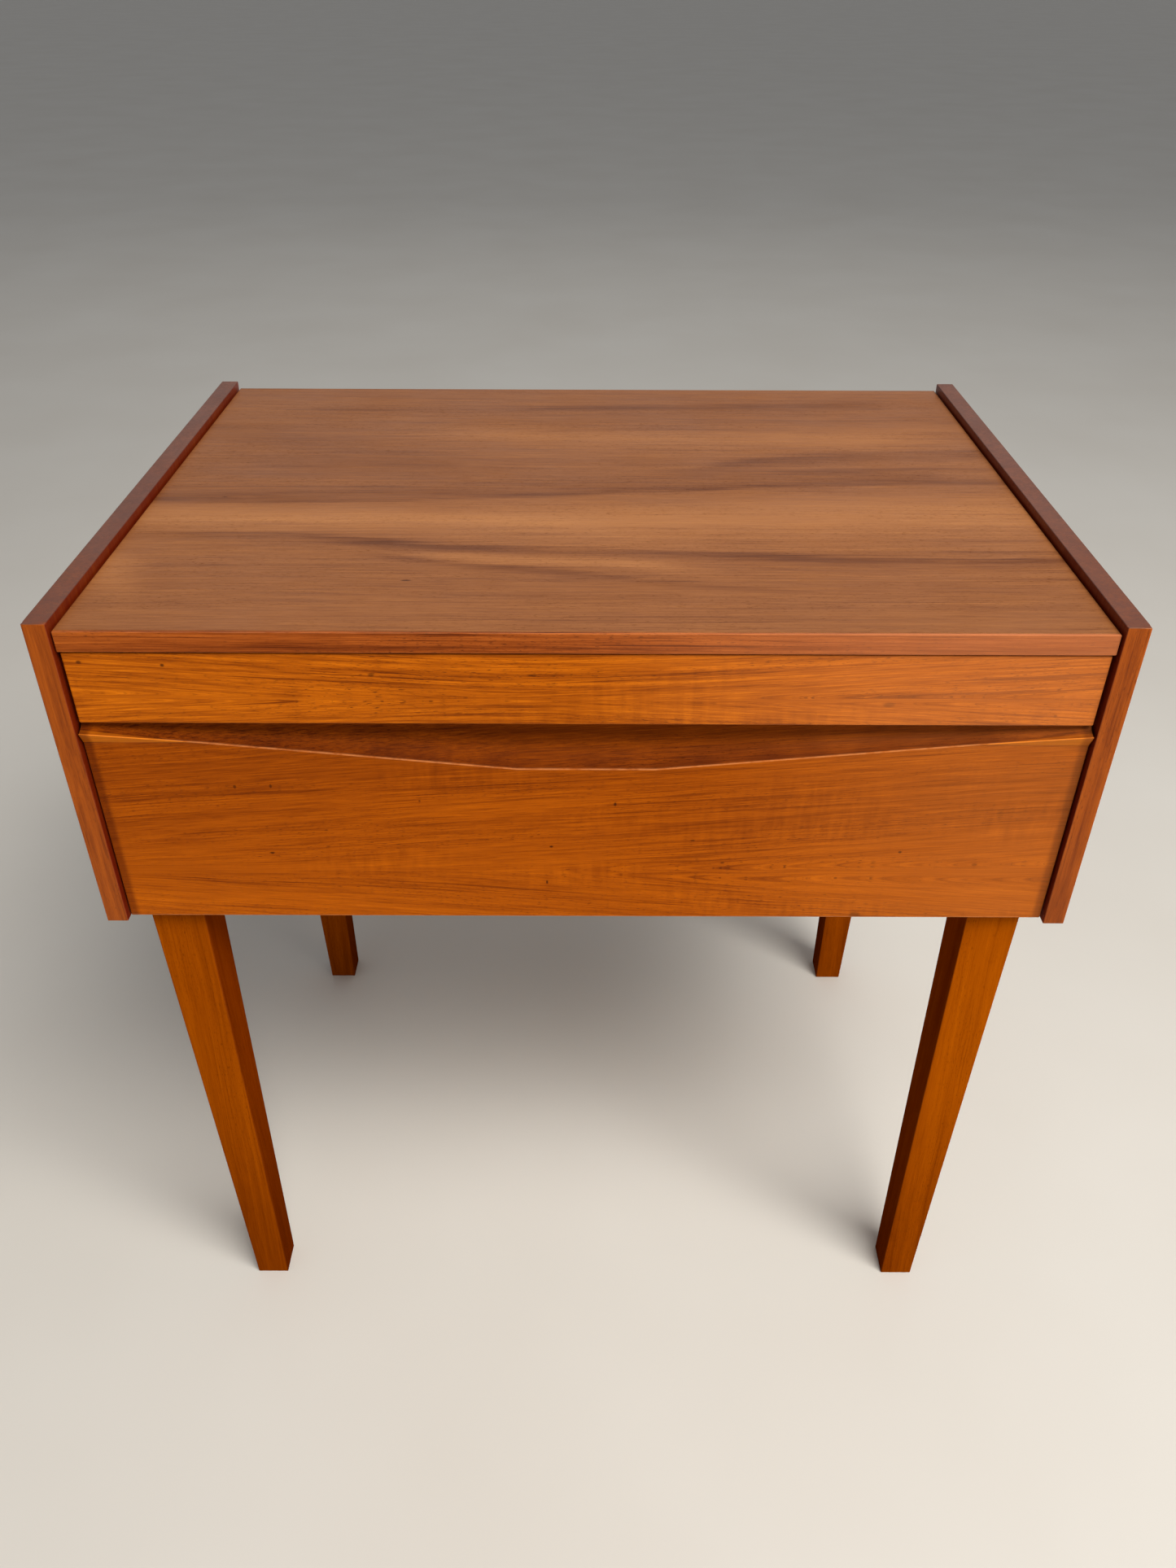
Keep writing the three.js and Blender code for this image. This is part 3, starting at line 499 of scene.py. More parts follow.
def board_mesh(low, high, radius, spacing=0.014, extra=None, wave=WAVE):
    """A board between two corners with twelve rounded arrises, as a grid of quads.

    extra gives more grid places for an axis, and wave is how far the faces swell and sink.
    """
    extra = extra or {}
    low, high = Vector(low), Vector(high)
    centre, half = (low + high) / 2, (high - low) / 2
    rows = []
    for axis in range(3):
        more = [place - centre[axis] for place in extra.get(axis, ())]
        rows.append(rows_along(half[axis], radius, spacing, more))
    bm = bmesh.new()
    layer = bm.verts.layers.float.new(EDGE)
    known = {}

    def vertex(point):
        key = tuple(round(c * 1e7) for c in point)
        if key in known:
            return known[key]
        flat = [half[a] - radius for a in range(3)]
        core = Vector([max(-flat[a], min(flat[a], point[a])) for a in range(3)])
        outward = (point - core).normalized()
        place = core + outward * radius
        place = place + outward * (noise.noise((place + centre) * WAVE_CELLS) * wave)
        made = bm.verts.new(place + centre)
        made[layer] = sorted(half[a] - abs(point[a]) for a in range(3))[1]
        known[key] = made
        return made

    for axis in range(3):
        first, second = [a for a in range(3) if a != axis]
        for side in (-1, 1):
            for i in range(len(rows[first]) - 1):
                for j in range(len(rows[second]) - 1):
                    corners = []
                    for di, dj in ((0, 0), (1, 0), (1, 1), (0, 1)):
                        point = Vector((0.0, 0.0, 0.0))
                        point[axis] = side * half[axis]
                        point[first] = rows[first][i + di]
                        point[second] = rows[second][j + dj]
                        corners.append(vertex(point))
                    if (side > 0) == (axis == 1):
                        corners.reverse()
                    bm.faces.new(corners)
    return bm


def circle(bm, radius, height, count):
    """Vertices round a circle about Z, or just its centre if the radius is zero."""
    turns = [2 * math.pi * k / count for k in range(count)] if radius else [0.0]
    return [bm.verts.new((radius * math.cos(t), radius * math.sin(t), height)) for t in turns]


def turned_mesh(profile, segments=32):
    """A body turned about Z from (radius, height) points that start and end on the axis."""
    bm = bmesh.new()
    rings = [circle(bm, radius, height, segments) for radius, height in profile]
    for lower, upper in zip(rings, rings[1:]):
        for k in range(segments):
            n = (k + 1) % segments
            if len(lower) == 1:
                bm.faces.new((lower[0], upper[n], upper[k]))
            elif len(upper) == 1:
                bm.faces.new((lower[k], lower[n], upper[0]))
            else:
                bm.faces.new((lower[k], lower[n], upper[n], upper[k]))
    bmesh.ops.recalc_face_normals(bm, faces=bm.faces)
    return bm


def box_cutter(low, high):
    """A sharp box used only to cut a groove or a slot."""
    bm = bmesh.new()
    bmesh.ops.create_cube(bm, size=1.0)
    low, high = Vector(low), Vector(high)
    for v in bm.verts:
        v.co = Vector([low[a] + (v.co[a] + 0.5) * (high[a] - low[a]) for a in range(3)])
    return bm


def to_object(name, bm):
    """Turns the mesh that is being built into an object of the scene."""
    mesh = bpy.data.meshes.new(name)
    bm.to_mesh(mesh)
    bm.free()
    made = bpy.data.objects.new(name, mesh)
    SCENE.collection.objects.link(made)
    return made


def carve(piece, cutters):
    """Cuts each cutter out of the piece and keeps the result as its mesh."""
    for cutter in cutters:
        tool = to_object("cutter", cutter)
        change = piece.modifiers.new("cut", "BOOLEAN")
        change.operation = "DIFFERENCE"
        change.solver = "EXACT"
        change.object = tool
        graph = bpy.context.evaluated_depsgraph_get()
        result = bpy.data.meshes.new_from_object(piece.evaluated_get(graph))
        piece.modifiers.clear()
        old = piece.data
        piece.data = result
        bpy.data.meshes.remove(old)
        bpy.data.objects.remove(tool)
    piece.data.name = piece.name


def paint(piece, material):
    """Gives the piece its one material."""
    piece.data.materials.clear()
    piece.data.materials.append(material)


def even_normals(piece, keep_sharp):
    """Smooth shading that stays flat over the broad faces."""
    even = piece.modifiers.new("even_normals", "WEIGHTED_NORMAL")
    even.keep_sharp = keep_sharp
    even.weight = 80


def dress(piece, node, material):
    """The piece stands for the CAD node, rides on its body and gets its material."""
    paint(piece, material)
    piece.data.shade_smooth()
    piece.data.set_sharp_from_angle(angle=SHARP_ANGLE)
    even_normals(piece, True)
    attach(piece, BODY_OF[node])
    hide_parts(node)


def dress_node(node, material, round_over):
    """Keeps a CAD node: its sharp arrises are rounded by a bevel, and it gets the material."""
    piece = NODES[node]
    paint(piece, material)
    weld = piece.modifiers.new("weld", "WELD")
    weld.merge_threshold = CLOSE
    bevel = piece.modifiers.new("round_over", "BEVEL")
    bevel.width = round_over * MM
    bevel.segments = 2
    bevel.limit_method = "ANGLE"
    bevel.angle_limit = BEVEL_ANGLE
    bevel.harden_normals = False
    even_normals(piece, False)


# ------------ middle colours of the woods
TOP_COLOUR = "855029"
LIPPING_COLOUR = "8f4312"
UPPER_COLOUR = "a85204"
LOWER_COLOUR = "a24c02"
CASE_COLOUR = "94440a"
LEG_COLOUR = "9a4802"
BEECH_COLOUR = "bd925f"
PLY_COLOUR = "a87a46"


# ------------ sizes of the built pieces
CUT_GAP = 0.0003  # room round a piece that sits in a housing, a groove or a hole
CHIP_ROW = 0.0012  # spacing of the mesh where the corners are chipped
LEG_FOOT = 0.024  # thickness of a leg at the floor
LEG_HOLE_R = 0.0043  # holes for the screw and the dowel of a leg


# ------------ case
def make_top():
    """The veneered board between the sides, and the strip along its front edge."""
    low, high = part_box("top_board")
    light_band = [(-286, -50), (-170, -55), (-60, -60), (50, -62), (130, -56), (286, -52)]
    bands = [
        # dark border over the light band, sharp towards it and fading away to the back
        ([(-286, -26), (-170, -26), (-60, -19), (50, -9), (130, 2), (286, 9)],
         (5, 14), (-320, 320), 10, 0.26),
        ([(-286, -20), (-170, -17), (-60, -6), (50, 2), (130, 14), (286, 16)],
         (8, 26), (-320, 250), 40, 0.12),
        # second dark branch, which rises to the right
        ([(-20, 8), (60, 24), (110, 44), (170, 57), (286, 68)], (22, 12), (70, 320), 50, 0.20),
        ([(60, 16), (110, 24), (170, 27), (230, 33), (286, 34)], (6, 8), (80, 290), 30, 0.16),
        # light band
        (light_band, (34, 28), (-320, -10), 70, -0.29),
        (light_band, (58, 62), (-40, 320), 70, -0.22),
        # dark border under the light band
        ([(-270, -80), (-180, -84), (-120, -93), (-40, -99), (50, -106), (130, -113), (286, -117)],
         (13, 5), (-270, 320), 40, 0.20),
        ([(-160, -88), (-120, -94), (-80, -99), (-30, -102)], (14, 6), (-165, -30), 25, 0.18),
        ([(50, -108), (130, -115), (200, -119), (286, -117)], (20, 12), (90, 280), 40, 0.13),
        # thin branch towards the front, with a light patch over it
        ([(-150, -106), (-70, -127), (0, -139), (60, -153), (130, -160)],
         (9, 6), (-140, 110), 30, 0.18),
        ([(-110, -113), (-40, -120), (20, -125), (70, -134)], (12, 12), (-95, 60), 30, -0.29),
        # bands near the back
        ([(-250, 163), (-80, 163), (0, 168), (90, 173), (220, 178)],
         (14, 11), (-60, 225), 50, 0.22),
        ([(-250, 164), (-80, 162), (0, 160), (90, 166), (220, 172)], (9, 9), (-245, -60), 40, 0.12),
        ([(-30, 112), (40, 116), (120, 116)], (4, 6), (-20, 110), 20, 0.13),
        # lighter cloud behind the middle and darker ones at the left
        ([(-120, 112), (0, 100), (120, 97), (260, 100)], (26, 22), (-110, 250), 50, -0.17),
        ([(-250, 92), (-180, 75), (-120, 60), (-60, 66)], (40, 40), (-250, -90), 50, 0.09),
        ([(-240, 30), (-150, 36), (-60, 40)], (30, 30), (-240, -40), 60, 0.09),
        # light corner at the front left
        ([(-286, -130), (-250, -165), (-230, -200)], (44, 44), (-320, -262), 16, -0.20),
    ]
    material = wood(
        "teak_top", "x", "y", TOP_COLOUR, seed=1.0, warp=2.0, tone=0.05, ring=0.03, fibre=0.09,
        fine=0.11, lines=0.08, pores=0.45, pore_colour="3d1a0a", bands=bands,
        knots=[(-104.6, -148.3, 4, 1.2, 0.8), (-240, -21.7, 2, 1.0, 0.7)],
        edge=(0.3, "5a2a16", 1.6), gloss=0.40, specular=0.18, relief=0.8,
    )
    top = to_object("top_board_veneered", board_mesh(low, high, 0.0005))
    dress(top, "top_board", material)

    low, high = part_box("top_front_lipping")
    material = wood(
        "teak_lipping", "x", "z", LIPPING_COLOUR, seed=2.0, slope=0.004, warp=0.6, tone=0.14,
        ring=0.14, fibre=0.24, fine=0.16, lines=0.34, pores=0.9, pore_colour="4a1a06",
        bands=[
            ([(-286, 587.5), (-200, 586.5), (-100, 585.0), (20, 584.0)],
             (1.6, 1.4), (-282, -40), 30, 0.30),
            ([(60, 591.5), (160, 589.5), (286, 591.0)], (1.4, 1.2), (70, 275), 25, 0.20),
        ],
        # painted sheen: the lipping is paler towards the right, where it catches more light
        zones=[("x", -60, 220, "b87048", 0.55, "MIX")], edge=(0.35, "b0744a", 0.5), gloss=0.36,
        specular=0.15, relief=1.2,
    )
    strip = to_object("top_lipping_strip", board_mesh(low, high, CRISP, 0.012))
    dress(strip, "top_front_lipping", material)


def nick(piece, at, size, depth):
    """Pushes the arris in around a point, as a small chip does."""
    at = Vector(at)
    centre = sum((v.co for v in piece.data.vertices), Vector()) / len(piece.data.vertices)
    for v in piece.data.vertices:
        gap = (v.co - at).length
        if gap < size:
            share = (1 - gap / size) ** 1.5
            inward = Vector((centre.x - v.co.x, 0.0, -1.0)).normalized()
            ragged = 0.6 + 0.8 * noise.noise(v.co * 900.0)
            v.co += inward * depth * share * max(0.1, ragged)


def make_sides():
    """The two side boards, with the housing for the base board and two chips in an upper corner."""
    base_low, base_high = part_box("base_board")
    for side, node in ((-1, "left_side_panel"), (1, "right_side_panel")):
        low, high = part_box(node)
        inner_x = high.x if side < 0 else low.x
        inner_mm = inner_x / MM
        chips = {
            1: [low.y + k * CHIP_ROW for k in range(1, 10)],
            2: [high.z - k * CHIP_ROW for k in range(1, 8)],
        }
        panel = to_object(f"{node}_board", board_mesh(low, high, CRISP, extra=chips))
        nick(panel, (high.x, low.y, high.z), 0.0045, 0.0011)
        nick(panel, (low.x, low.y + 0.003, high.z), 0.003, 0.0006)
        near, far = sorted((inner_x - side * 0.002, side * (base_high.x + CUT_GAP)))
        housing = box_cutter(
            (near, base_low.y - CUT_GAP, base_low.z - CUT_GAP),
            (far, base_high.y + CUT_GAP, base_high.z + CUT_GAP),
        )
        carve(panel, [housing])
        material = wood(
            f"teak_side_{'left' if side < 0 else 'right'}", "z", "y", CASE_COLOUR, seed=4.0 + side,
            slope=0.02 * side, warp=2.2, tone=0.12, ring=0.10, fibre=0.10, fine=0.09, lines=0.12,
            # painted shade: the side boards darken towards their bottom
            pores=0.45, pore_colour="4c1c06", shades=[("z", 470, 392, 0.10)],
            knots=[(497, -208, 5, 1.6, 0.35)] if side > 0 else [(505, -209, 1.2, 0.6, 0.4)],
            zones=[
                # painted shade darkens the inner faces, and the upper edges are a grey brown that
                # is partly weathered wood and partly painted reflection
                ("x", inner_mm + side * 0.6, inner_mm + side * 0.1, "5c0a04", 0.9, "MIX"),
                ("z", 599.3, 599.9, "4e3630", 0.85, "MIX"),
            ],
            edge=(0.4, "b87848", 0.45), gloss=0.36, specular=0.22,
        )
        dress(panel, node, material)


def taper(piece, low, high, inner_x, outer):
    """Draws the foot of a straight square leg in, away from its inner and its upright face."""
    top_size = high.x - low.x
    front = low.y < 0
    face_y = low.y if front else high.y
    inward = 1 if front else -1
    for v in piece.data.vertices:
        share = (v.co.z - low.z) / (high.z - low.z)
        size = LEG_FOOT + (top_size - LEG_FOOT) * share
        v.co.x = inner_x + outer * abs(v.co.x - inner_x) * size / top_size
        v.co.y = face_y + inward * abs(v.co.y - face_y) * size / top_size


def make_legs():
    """Four tapered legs with holes for their screws and dowels."""
    for number, end in enumerate(("front_left", "front_right", "back_left", "back_right")):
        node = f"leg_{end}"
        low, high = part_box(node)
        outer = 1 if low.x > 0 else -1
        inner_x = low.x if outer > 0 else high.x
        inner_mm = inner_x / MM
        leg = to_object(f"{node}_tapered", board_mesh(low, high, SOFT, 0.012))
        taper(leg, low, high, inner_x, outer)
        cutters = []
        for fixing in (f"leg_screw_{end}", f"leg_dowel_{end}"):
            fixing_low, fixing_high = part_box(fixing)
            middle = (fixing_low + fixing_high) / 2
            foot, mouth = fixing_low.z - 0.001, high.z + 0.003
            hole = [(0, foot), (LEG_HOLE_R, foot), (LEG_HOLE_R, mouth), (0, mouth)]
            bm = turned_mesh(hole, 24)
            bmesh.ops.translate(bm, verts=bm.verts, vec=(middle.x, middle.y, 0.0))
            cutters.append(bm)
        carve(leg, cutters)
        # painted shade: the inner faces of the legs are made darker
        inner_shade = ("x", inner_mm + outer * 0.9, inner_mm + outer * 0.2, "a8864e", 0.9, "MULTIPLY")
        material = wood(
            f"teak_{node}", "z", "x", LEG_COLOUR, seed=11.0 + 3.0 * number,
            slope=0.025 * (1 if number % 2 else -1), warp=2.5, tone=0.10, lines=0.05, fibre=0.06,
            # painted shade: the legs darken towards the floor
            pores=0.45, pore_colour="4a1c02", shades=[("z", 240, 0, 0.26)], zones=[inner_shade],
            edge=(0.3, "b06a34", 0.6), specular=0.0,
        )
        dress(leg, node, material)


# ------------ drawer fronts
def drawer_groove(prefix, back_y):
    """The groove in a front that holds the edge of the drawer's bottom."""
    low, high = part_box(f"{prefix}_drawer_bottom")
    return box_cutter(
        (low.x - CUT_GAP, low.y - CUT_GAP, low.z - CUT_GAP),
        (high.x + CUT_GAP, back_y + 0.004, high.z + CUT_GAP),
    )


def make_upper_front():
    """The straight front of the upper drawer."""
    low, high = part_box("upper_drawer_front")
    front = to_object("upper_drawer_front_board", board_mesh(low, high, SOFT, 0.012, wave=0.00008))
    carve(front, [drawer_groove("upper", high.y)])
    knots = [
        (-276, 575.5, 2.0, 1.2, 0.75), (-231, 573.5, 1.6, 1.2, 0.8),
        (-118, 568.0, 2.2, 1.6, 0.6), (168, 550.0, 4.0, 2.0, 0.55),
        (262, 543.0, 1.4, 1.2, 0.7), (-30, 568, 3.0, 0.8, 0.5),
    ]
    material = wood(
        "teak_upper_front", "x", "z", UPPER_COLOUR, seed=21.0, apex=(553.0, -30.0, 0.055, 1.0),
        warp=1.2, tone=0.09, ring=0.12, fibre=0.19, fine=0.21, lines=0.20, figure=0.5, pores=0.85,
        # painted reflection: the front is paler towards the right, where it catches more light
        pore_colour="4a1a02", knots=knots, zones=[("x", -20, 230, "cc7a44", 0.4, "MIX")],
        edge=(0.35, "5e2406", 1.2), specular=0.12, relief=1.2,
    )
    dress(front, "upper_drawer_front", material)


DIP_HALF = 0.040  # the flat stretch of the pull reaches this far from the middle
DIP_Z = 0.5054  # height of the edge along that stretch
FLARE_X = 0.216  # from here to the ends the edge also comes forward
FLARE_Z = 0.5226
NOSE_Z = 0.5307  # height of the edge at the ends
NOSE_OUT = 0.004  # how far it stands out there
EDGE_T = 0.0009  # thickness of the edge between the face and the cove
COVE_TURN = math.radians(55)
COVE_STEPS = 18
COVE_BACK_AT_ENDS = 0.007
TOP_FLAT = 0.0012  # flat left behind the cove in the middle
MIN_LIP = 0.0006  # least height of the lip over the flat face
ARRIS = 0.0008
TOP_ARRIS = 0.0004  # where the cove runs out at the top
TIP_BACK_ARRIS = 0.0003
TIP_FRONT_ARRIS = 0.0004
CORNER_STEPS = 3
PULL_CORNER_POINTS = 2  # points of the edge's back corner that belong to the pull
BACK_ROWS = (0.03, 0.14, 0.5, 0.86, 0.97)
FACE_ROWS = (0.02, 0.06, 0.14, 0.24, 0.34, 0.44, 0.54, 0.64, 0.74, 0.84, 0.93, 0.98)
LIP_ROWS = (0.4, 0.8)
END_R = 0.0004  # rounding of the front's two ends
STATIONS = 96
STATION_GAP = 0.0018
# the finger pull's darkening by dirt and painted shade is least at the top of the cove
PULL_LEAST = 0.12  # how much the top of the cove has darkened, against 1 at the edge


def soft_corner(before, corner, after, radius):
    """Points round a corner of an outline, in place of the sharp corner."""
    before, corner, after = Vector(before), Vector(corner), Vector(after)
    a = (before - corner).normalized()
    b = (after - corner).normalized()
    points = []
    start, end = corner + a * radius, corner + b * radius
    for k in range(CORNER_STEPS + 1):
        t = k / CORNER_STEPS
        points.append(start * (1 - t) ** 2 + corner * 2 * t * (1 - t) + end * t**2)
    return points


def front_edge(away, face_y, end_x):
    """Place (y, z) of the upper edge of the lower front, at a distance from the middle."""
    if away <= DIP_HALF:
        return face_y, DIP_Z
    if away <= FLARE_X:
        share = (away - DIP_HALF) / (FLARE_X - DIP_HALF)
        return face_y, DIP_Z + (FLARE_Z - DIP_Z) * share
    share = (away - FLARE_X) / (end_x - FLARE_X)
    return face_y - NOSE_OUT * share, FLARE_Z + (NOSE_Z - FLARE_Z) * share


def front_section(x, low, high):
    """Outline (y, z) of the lower front at x, with the distance of each point from an arris.

    Also gives the place in the outline where the cove starts.
    """
    face_y = low.y + NOSE_OUT
    away = abs(x)
    edge_y, edge_z = front_edge(away, face_y, high.x)
    dip = (NOSE_Z - edge_z) / (NOSE_Z - DIP_Z)
    cove_back = (edge_y + COVE_BACK_AT_ENDS) * (1 - dip) + (high.y - TOP_FLAT) * dip
    cove_front = edge_y + EDGE_T
    depth = (cove_back - cove_front) / (1 - math.cos(COVE_TURN))
    rise = (high.z - edge_z) / math.sin(COVE_TURN)
    foot_z = min(FLARE_Z, edge_z - MIN_LIP)
    cove = []
    for k in range(1, COVE_STEPS):
        angle = COVE_TURN * k / COVE_STEPS
        y = cove_back - depth * (1 - math.cos(angle))
        cove.append(Vector((y, high.z - rise * math.sin(angle))))
    outline = []

    def corner(before, here, after, radius):
        for point in soft_corner(before, here, after, radius):
            outline.append((point, 0.0))

    bottom_front, bottom_back = (face_y, low.z), (high.y, low.z)
    top_back, cove_top = (high.y, high.z), (cove_back, high.z)
    tip_back, tip_front = (cove_front, edge_z), (edge_y, edge_z)
    corner((face_y, high.z), bottom_front, bottom_back, ARRIS)
    outline.append((Vector(((face_y + high.y) / 2, low.z)), 0.008))
    corner(bottom_front, bottom_back, top_back, ARRIS)
    for share in BACK_ROWS:
        gap = min(share, 1 - share) * (high.z - low.z)
        outline.append((Vector((high.y, low.z + (high.z - low.z) * share)), gap))
    corner(bottom_back, top_back, cove_top, min(ARRIS, 0.45 * (high.y - cove_back)))
    corner(top_back, cove_top, cove[0], min(TOP_ARRIS, 0.4 * (high.y - cove_back)))
    cove_start = len(outline)
    for point in cove:
        gap = min((point - Vector(tip_back)).length, (point - Vector(cove_top)).length)
        outline.append((point, gap))
    corner(cove[-1], tip_back, tip_front, TIP_BACK_ARRIS)
    corner(tip_back, tip_front, (face_y, foot_z), TIP_FRONT_ARRIS)
    foot = Vector((face_y, foot_z))
    tip = outline[-1][0]
    bevelled = away > FLARE_X
    for share in LIP_ROWS:
        outline.append((tip.lerp(foot, share), 0.006 if bevelled else 0.002 * share))
    outline.append((foot, 0.02) if bevelled else (tip.lerp(foot, 1.0), 0.002))
    for share in FACE_ROWS:
        z = foot_z + (low.z - foot_z) * share
        outline.append((Vector((face_y, z)), min(edge_z - z, z - low.z)))
    return outline, cove_start


def front_rings(low, high):
    """Sections of the lower front from end to end, as (x, inset, outline, start of the cove)."""
    reach = high.x - END_R
    stations = set()
    for side in (-1, 1):
        for turn_x in (DIP_HALF, FLARE_X):
            stations.update(side * (turn_x + step) for step in (0.0, -0.002, 0.002))
    for k in range(STATIONS + 1):
        place = -reach + 2 * reach * k / STATIONS
        if all(abs(place - s) > STATION_GAP for s in stations):
            stations.add(place)
    stations.update((-reach, reach))
    rings = [(place, 0.0, *front_section(place, low, high)) for place in stations]
    # the ends are rounded by drawing the outline in over the last half millimetre
    for side in (-1, 1):
        for degrees in (30, 60, 90):
            turn = math.radians(degrees)
            place = side * (reach + END_R * math.sin(turn))
            inset = END_R * (1 - math.cos(turn))
            rings.append((place, inset, *front_section(side * reach, low, high)))
    return sorted(rings, key=lambda ring: ring[0])


def make_lower_front():
    """The front of the lower drawer, whose upper edge dips to make a finger pull."""
    low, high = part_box("lower_drawer_front")
    bm = bmesh.new()
    layer = bm.verts.layers.float.new(EDGE)
    inside = bm.verts.layers.float.new(PULL)
    loops = []
    for place, inset, outline, cove_start in front_rings(low, high):
        pull_points = COVE_STEPS - 1 + PULL_CORNER_POINTS
        points = [p for p, gap in outline]
        count = len(points)
        loop = []
        for k, (point, gap) in enumerate(outline):
            moved = Vector(point)
            if inset:
                ahead, behind = points[(k + 1) % count], points[k - 1]
                run = (ahead - behind).normalized()
                moved = moved + Vector((-run.y, run.x)) * inset
            wave = noise.noise(Vector((place, moved.x, moved.y)) * WAVE_CELLS) * WAVE
            made = bm.verts.new((place, moved.x + wave, moved.y))
            made[layer] = min(gap, high.x - abs(place))
            share = (k - cove_start) / pull_points
            made[inside] = PULL_LEAST + (1 - PULL_LEAST) * share if 0 <= share < 1 else 0.0
            loop.append(made)
        loops.append(loop)
    for here, there in zip(loops, loops[1:]):
        count = len(here)
        for k in range(count):
            n = (k + 1) % count
            bm.faces.new((here[k], here[n], there[n], there[k]))
    bm.faces.new(loops[0])
    bm.faces.new(list(reversed(loops[-1])))
    bmesh.ops.recalc_face_normals(bm, faces=bm.faces)
    front = to_object("lower_drawer_front_shaped", bm)
    carve(front, [drawer_groove("lower", high.y)])
    knots = [
        (17, 481.0, 1.2, 2.0, 0.85), (-21, 449.0, 1.4, 1.0, 0.85),
        (-24, 421.5, 0.8, 1.6, 0.85), (-190, 443.5, 2.0, 1.0, 0.85),
        (-205, 492.5, 1.0, 1.4, 0.7), (-184, 493.0, 0.8, 1.4, 0.7),
        (190, 445.5, 1.2, 1.0, 0.85), (-98, 482.5, 0.8, 1.0, 0.6),
        (64, 454.0, 1.4, 0.8, 0.6), (83, 437.0, 1.4, 0.8, 0.6),
        (169, 395.5, 4.2, 3.2, 0.5), (245, 474, 2.6, 5.0, 0.25),
    ]
    material = wood(
        "teak_lower_front", "x", "z", LOWER_COLOUR, seed=33.0, apex=(430.5, -60.0, -0.075, 4.0),
        warp=1.6, tone=0.06, ring=0.03, fibre=0.11, fine=0.15, lines=0.14, figure=0.4, pores=0.65,
        # painted shade: the front darkens towards its top, under the upper drawer
        pore_colour="4a1802", knots=knots, shades=[("z", 400, 515, 0.14)],
        zones=[
            # painted highlight: the bevel under the edge is made lighter where it catches the
            # light; painted shadow of the side boards darkens both ends
            ("y", -211.15, -211.7, "e07c10", 0.75, "MIX"),
            *[("x", side * 279, side * 282.5, "a08468", 0.75, "MULTIPLY") for side in (-1, 1)],
            # painted reflection: the front is paler towards the right, where it catches more light
            ("x", 40, 280, "c4783c", 0.22, "MIX"),
        ],
        # the finger pull is darkened with dirt and painted shade
        edge=(0.45, "c88450", 0.5), specular=0.08, grime_and_shade=1.0,
    )
    dress(front, "lower_drawer_front", material)


# ------------ turned pieces
DOME_STEPS = (0, 20, 40, 60, 78)  # degrees round the domed end of a peg or dowel
DOME_RISE = 0.45  # height of that end for a radius of 1
BOLT_HEAD_H = 0.005
SHANK = 0.5  # sizes of a screw as shares of its head's radius and of its length
CORE = 0.78
THREAD_END = 0.88
POINT_START = 0.92
SLOT_HALF = 0.11
SLOT_DEPTH = 0.55


def make_turned():
    """Pegs, dowels and screws."""
    screw_number = 0
    for node in sorted(NODES):
        low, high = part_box(node)
        middle = (low + high) / 2
        if node.startswith(("thread_peg_", "leg_dowel")) and node != "thread_peg_board":
            radius = (high.x - low.x) / 2
            length = high.z - low.z
            dome = []
            for degrees in DOME_STEPS:
                turn = math.radians(degrees)
                height = length - radius * DOME_RISE * (1 - math.sin(turn))
                dome.append((radius * math.cos(turn), height))
            bm = turned_mesh([(0, 0), (radius * 0.9, 0), (radius, 0.0004), *dome, (0, length)], 28)
            bmesh.ops.translate(bm, verts=bm.verts, vec=(middle.x, middle.y, low.z))
            piece = to_object(f"{node}_turned", bm)
            material = wood(
                f"beech_{node}", "z", "x", BEECH_COLOUR, seed=middle.x * 90, pores=0.2,
                pore_colour="8a5c34", gloss=0.5,
            )
            dress(piece, node, material)
        elif "screw" in node:
            screw_number += 1
            make_screw(node, low, high, screw_number)


def make_screw(node, low, high, number):
    """A slotted screw with a fine thread, turned about Z and laid along its own axis."""
    size = high - low
    along = max(range(3), key=lambda a: size[a])
    length = size[along]
    head_r = min(size[a] for a in range(3) if a != along) / 2
    bolt = node.startswith("leg_screw")
    shank_r = head_r * SHANK
    if bolt:
        head_h, start, pitch = BOLT_HEAD_H, length * 0.4, 0.0025
        head = [(head_r - 0.0015, 0), (head_r - 0.0004, 0.0004), (head_r, 0.0012), (head_r, head_h)]
    else:
        head_h, start, pitch = head_r - shank_r, length * 0.3, 0.0012
        head = [(head_r - 0.0002, 0), (head_r, 0.0002)]
    profile = [(0, 0), *head, (shank_r, head_h + 0.0002), (shank_r, start)]
    core = shank_r * CORE
    place = start
    while place + pitch < length * THREAD_END:
        profile += [(core, place + pitch * 0.3), (core, place + pitch * 0.5)]
        profile += [(shank_r, place + pitch * 0.9)]
        place += pitch
    profile += [(core * 0.8, length * POINT_START), (0.0, length)]
    bm = turned_mesh(profile, 32)
    turn = number * 0.9
    slot = box_cutter(
        (-head_r * 1.2, -head_r * SLOT_HALF, -0.001),
        (head_r * 1.2, head_r * SLOT_HALF, head_h * SLOT_DEPTH),
    )
    bmesh.ops.rotate(slot, verts=slot.verts, cent=(0, 0, 0), matrix=Matrix.Rotation(turn, 3, "Z"))
    piece = to_object(f"{node}_slotted", bm)
    carve(piece, [slot])
    middle = (low + high) / 2
    if along == 1:  # the head looks to the back
        at, degrees = (middle.x, high.y, middle.z), 90
    elif bolt:  # the head looks up
        at, degrees = (middle.x, middle.y, high.z), 180
    else:  # the head looks down
        at, degrees = (middle.x, middle.y, low.z), 0
    tip_over = Matrix.Rotation(math.radians(degrees), 4, "X")
    piece.data.transform(Matrix.Translation(at) @ tip_over)
    dress(piece, node, steel(f"steel_{node}", number * 1.7))


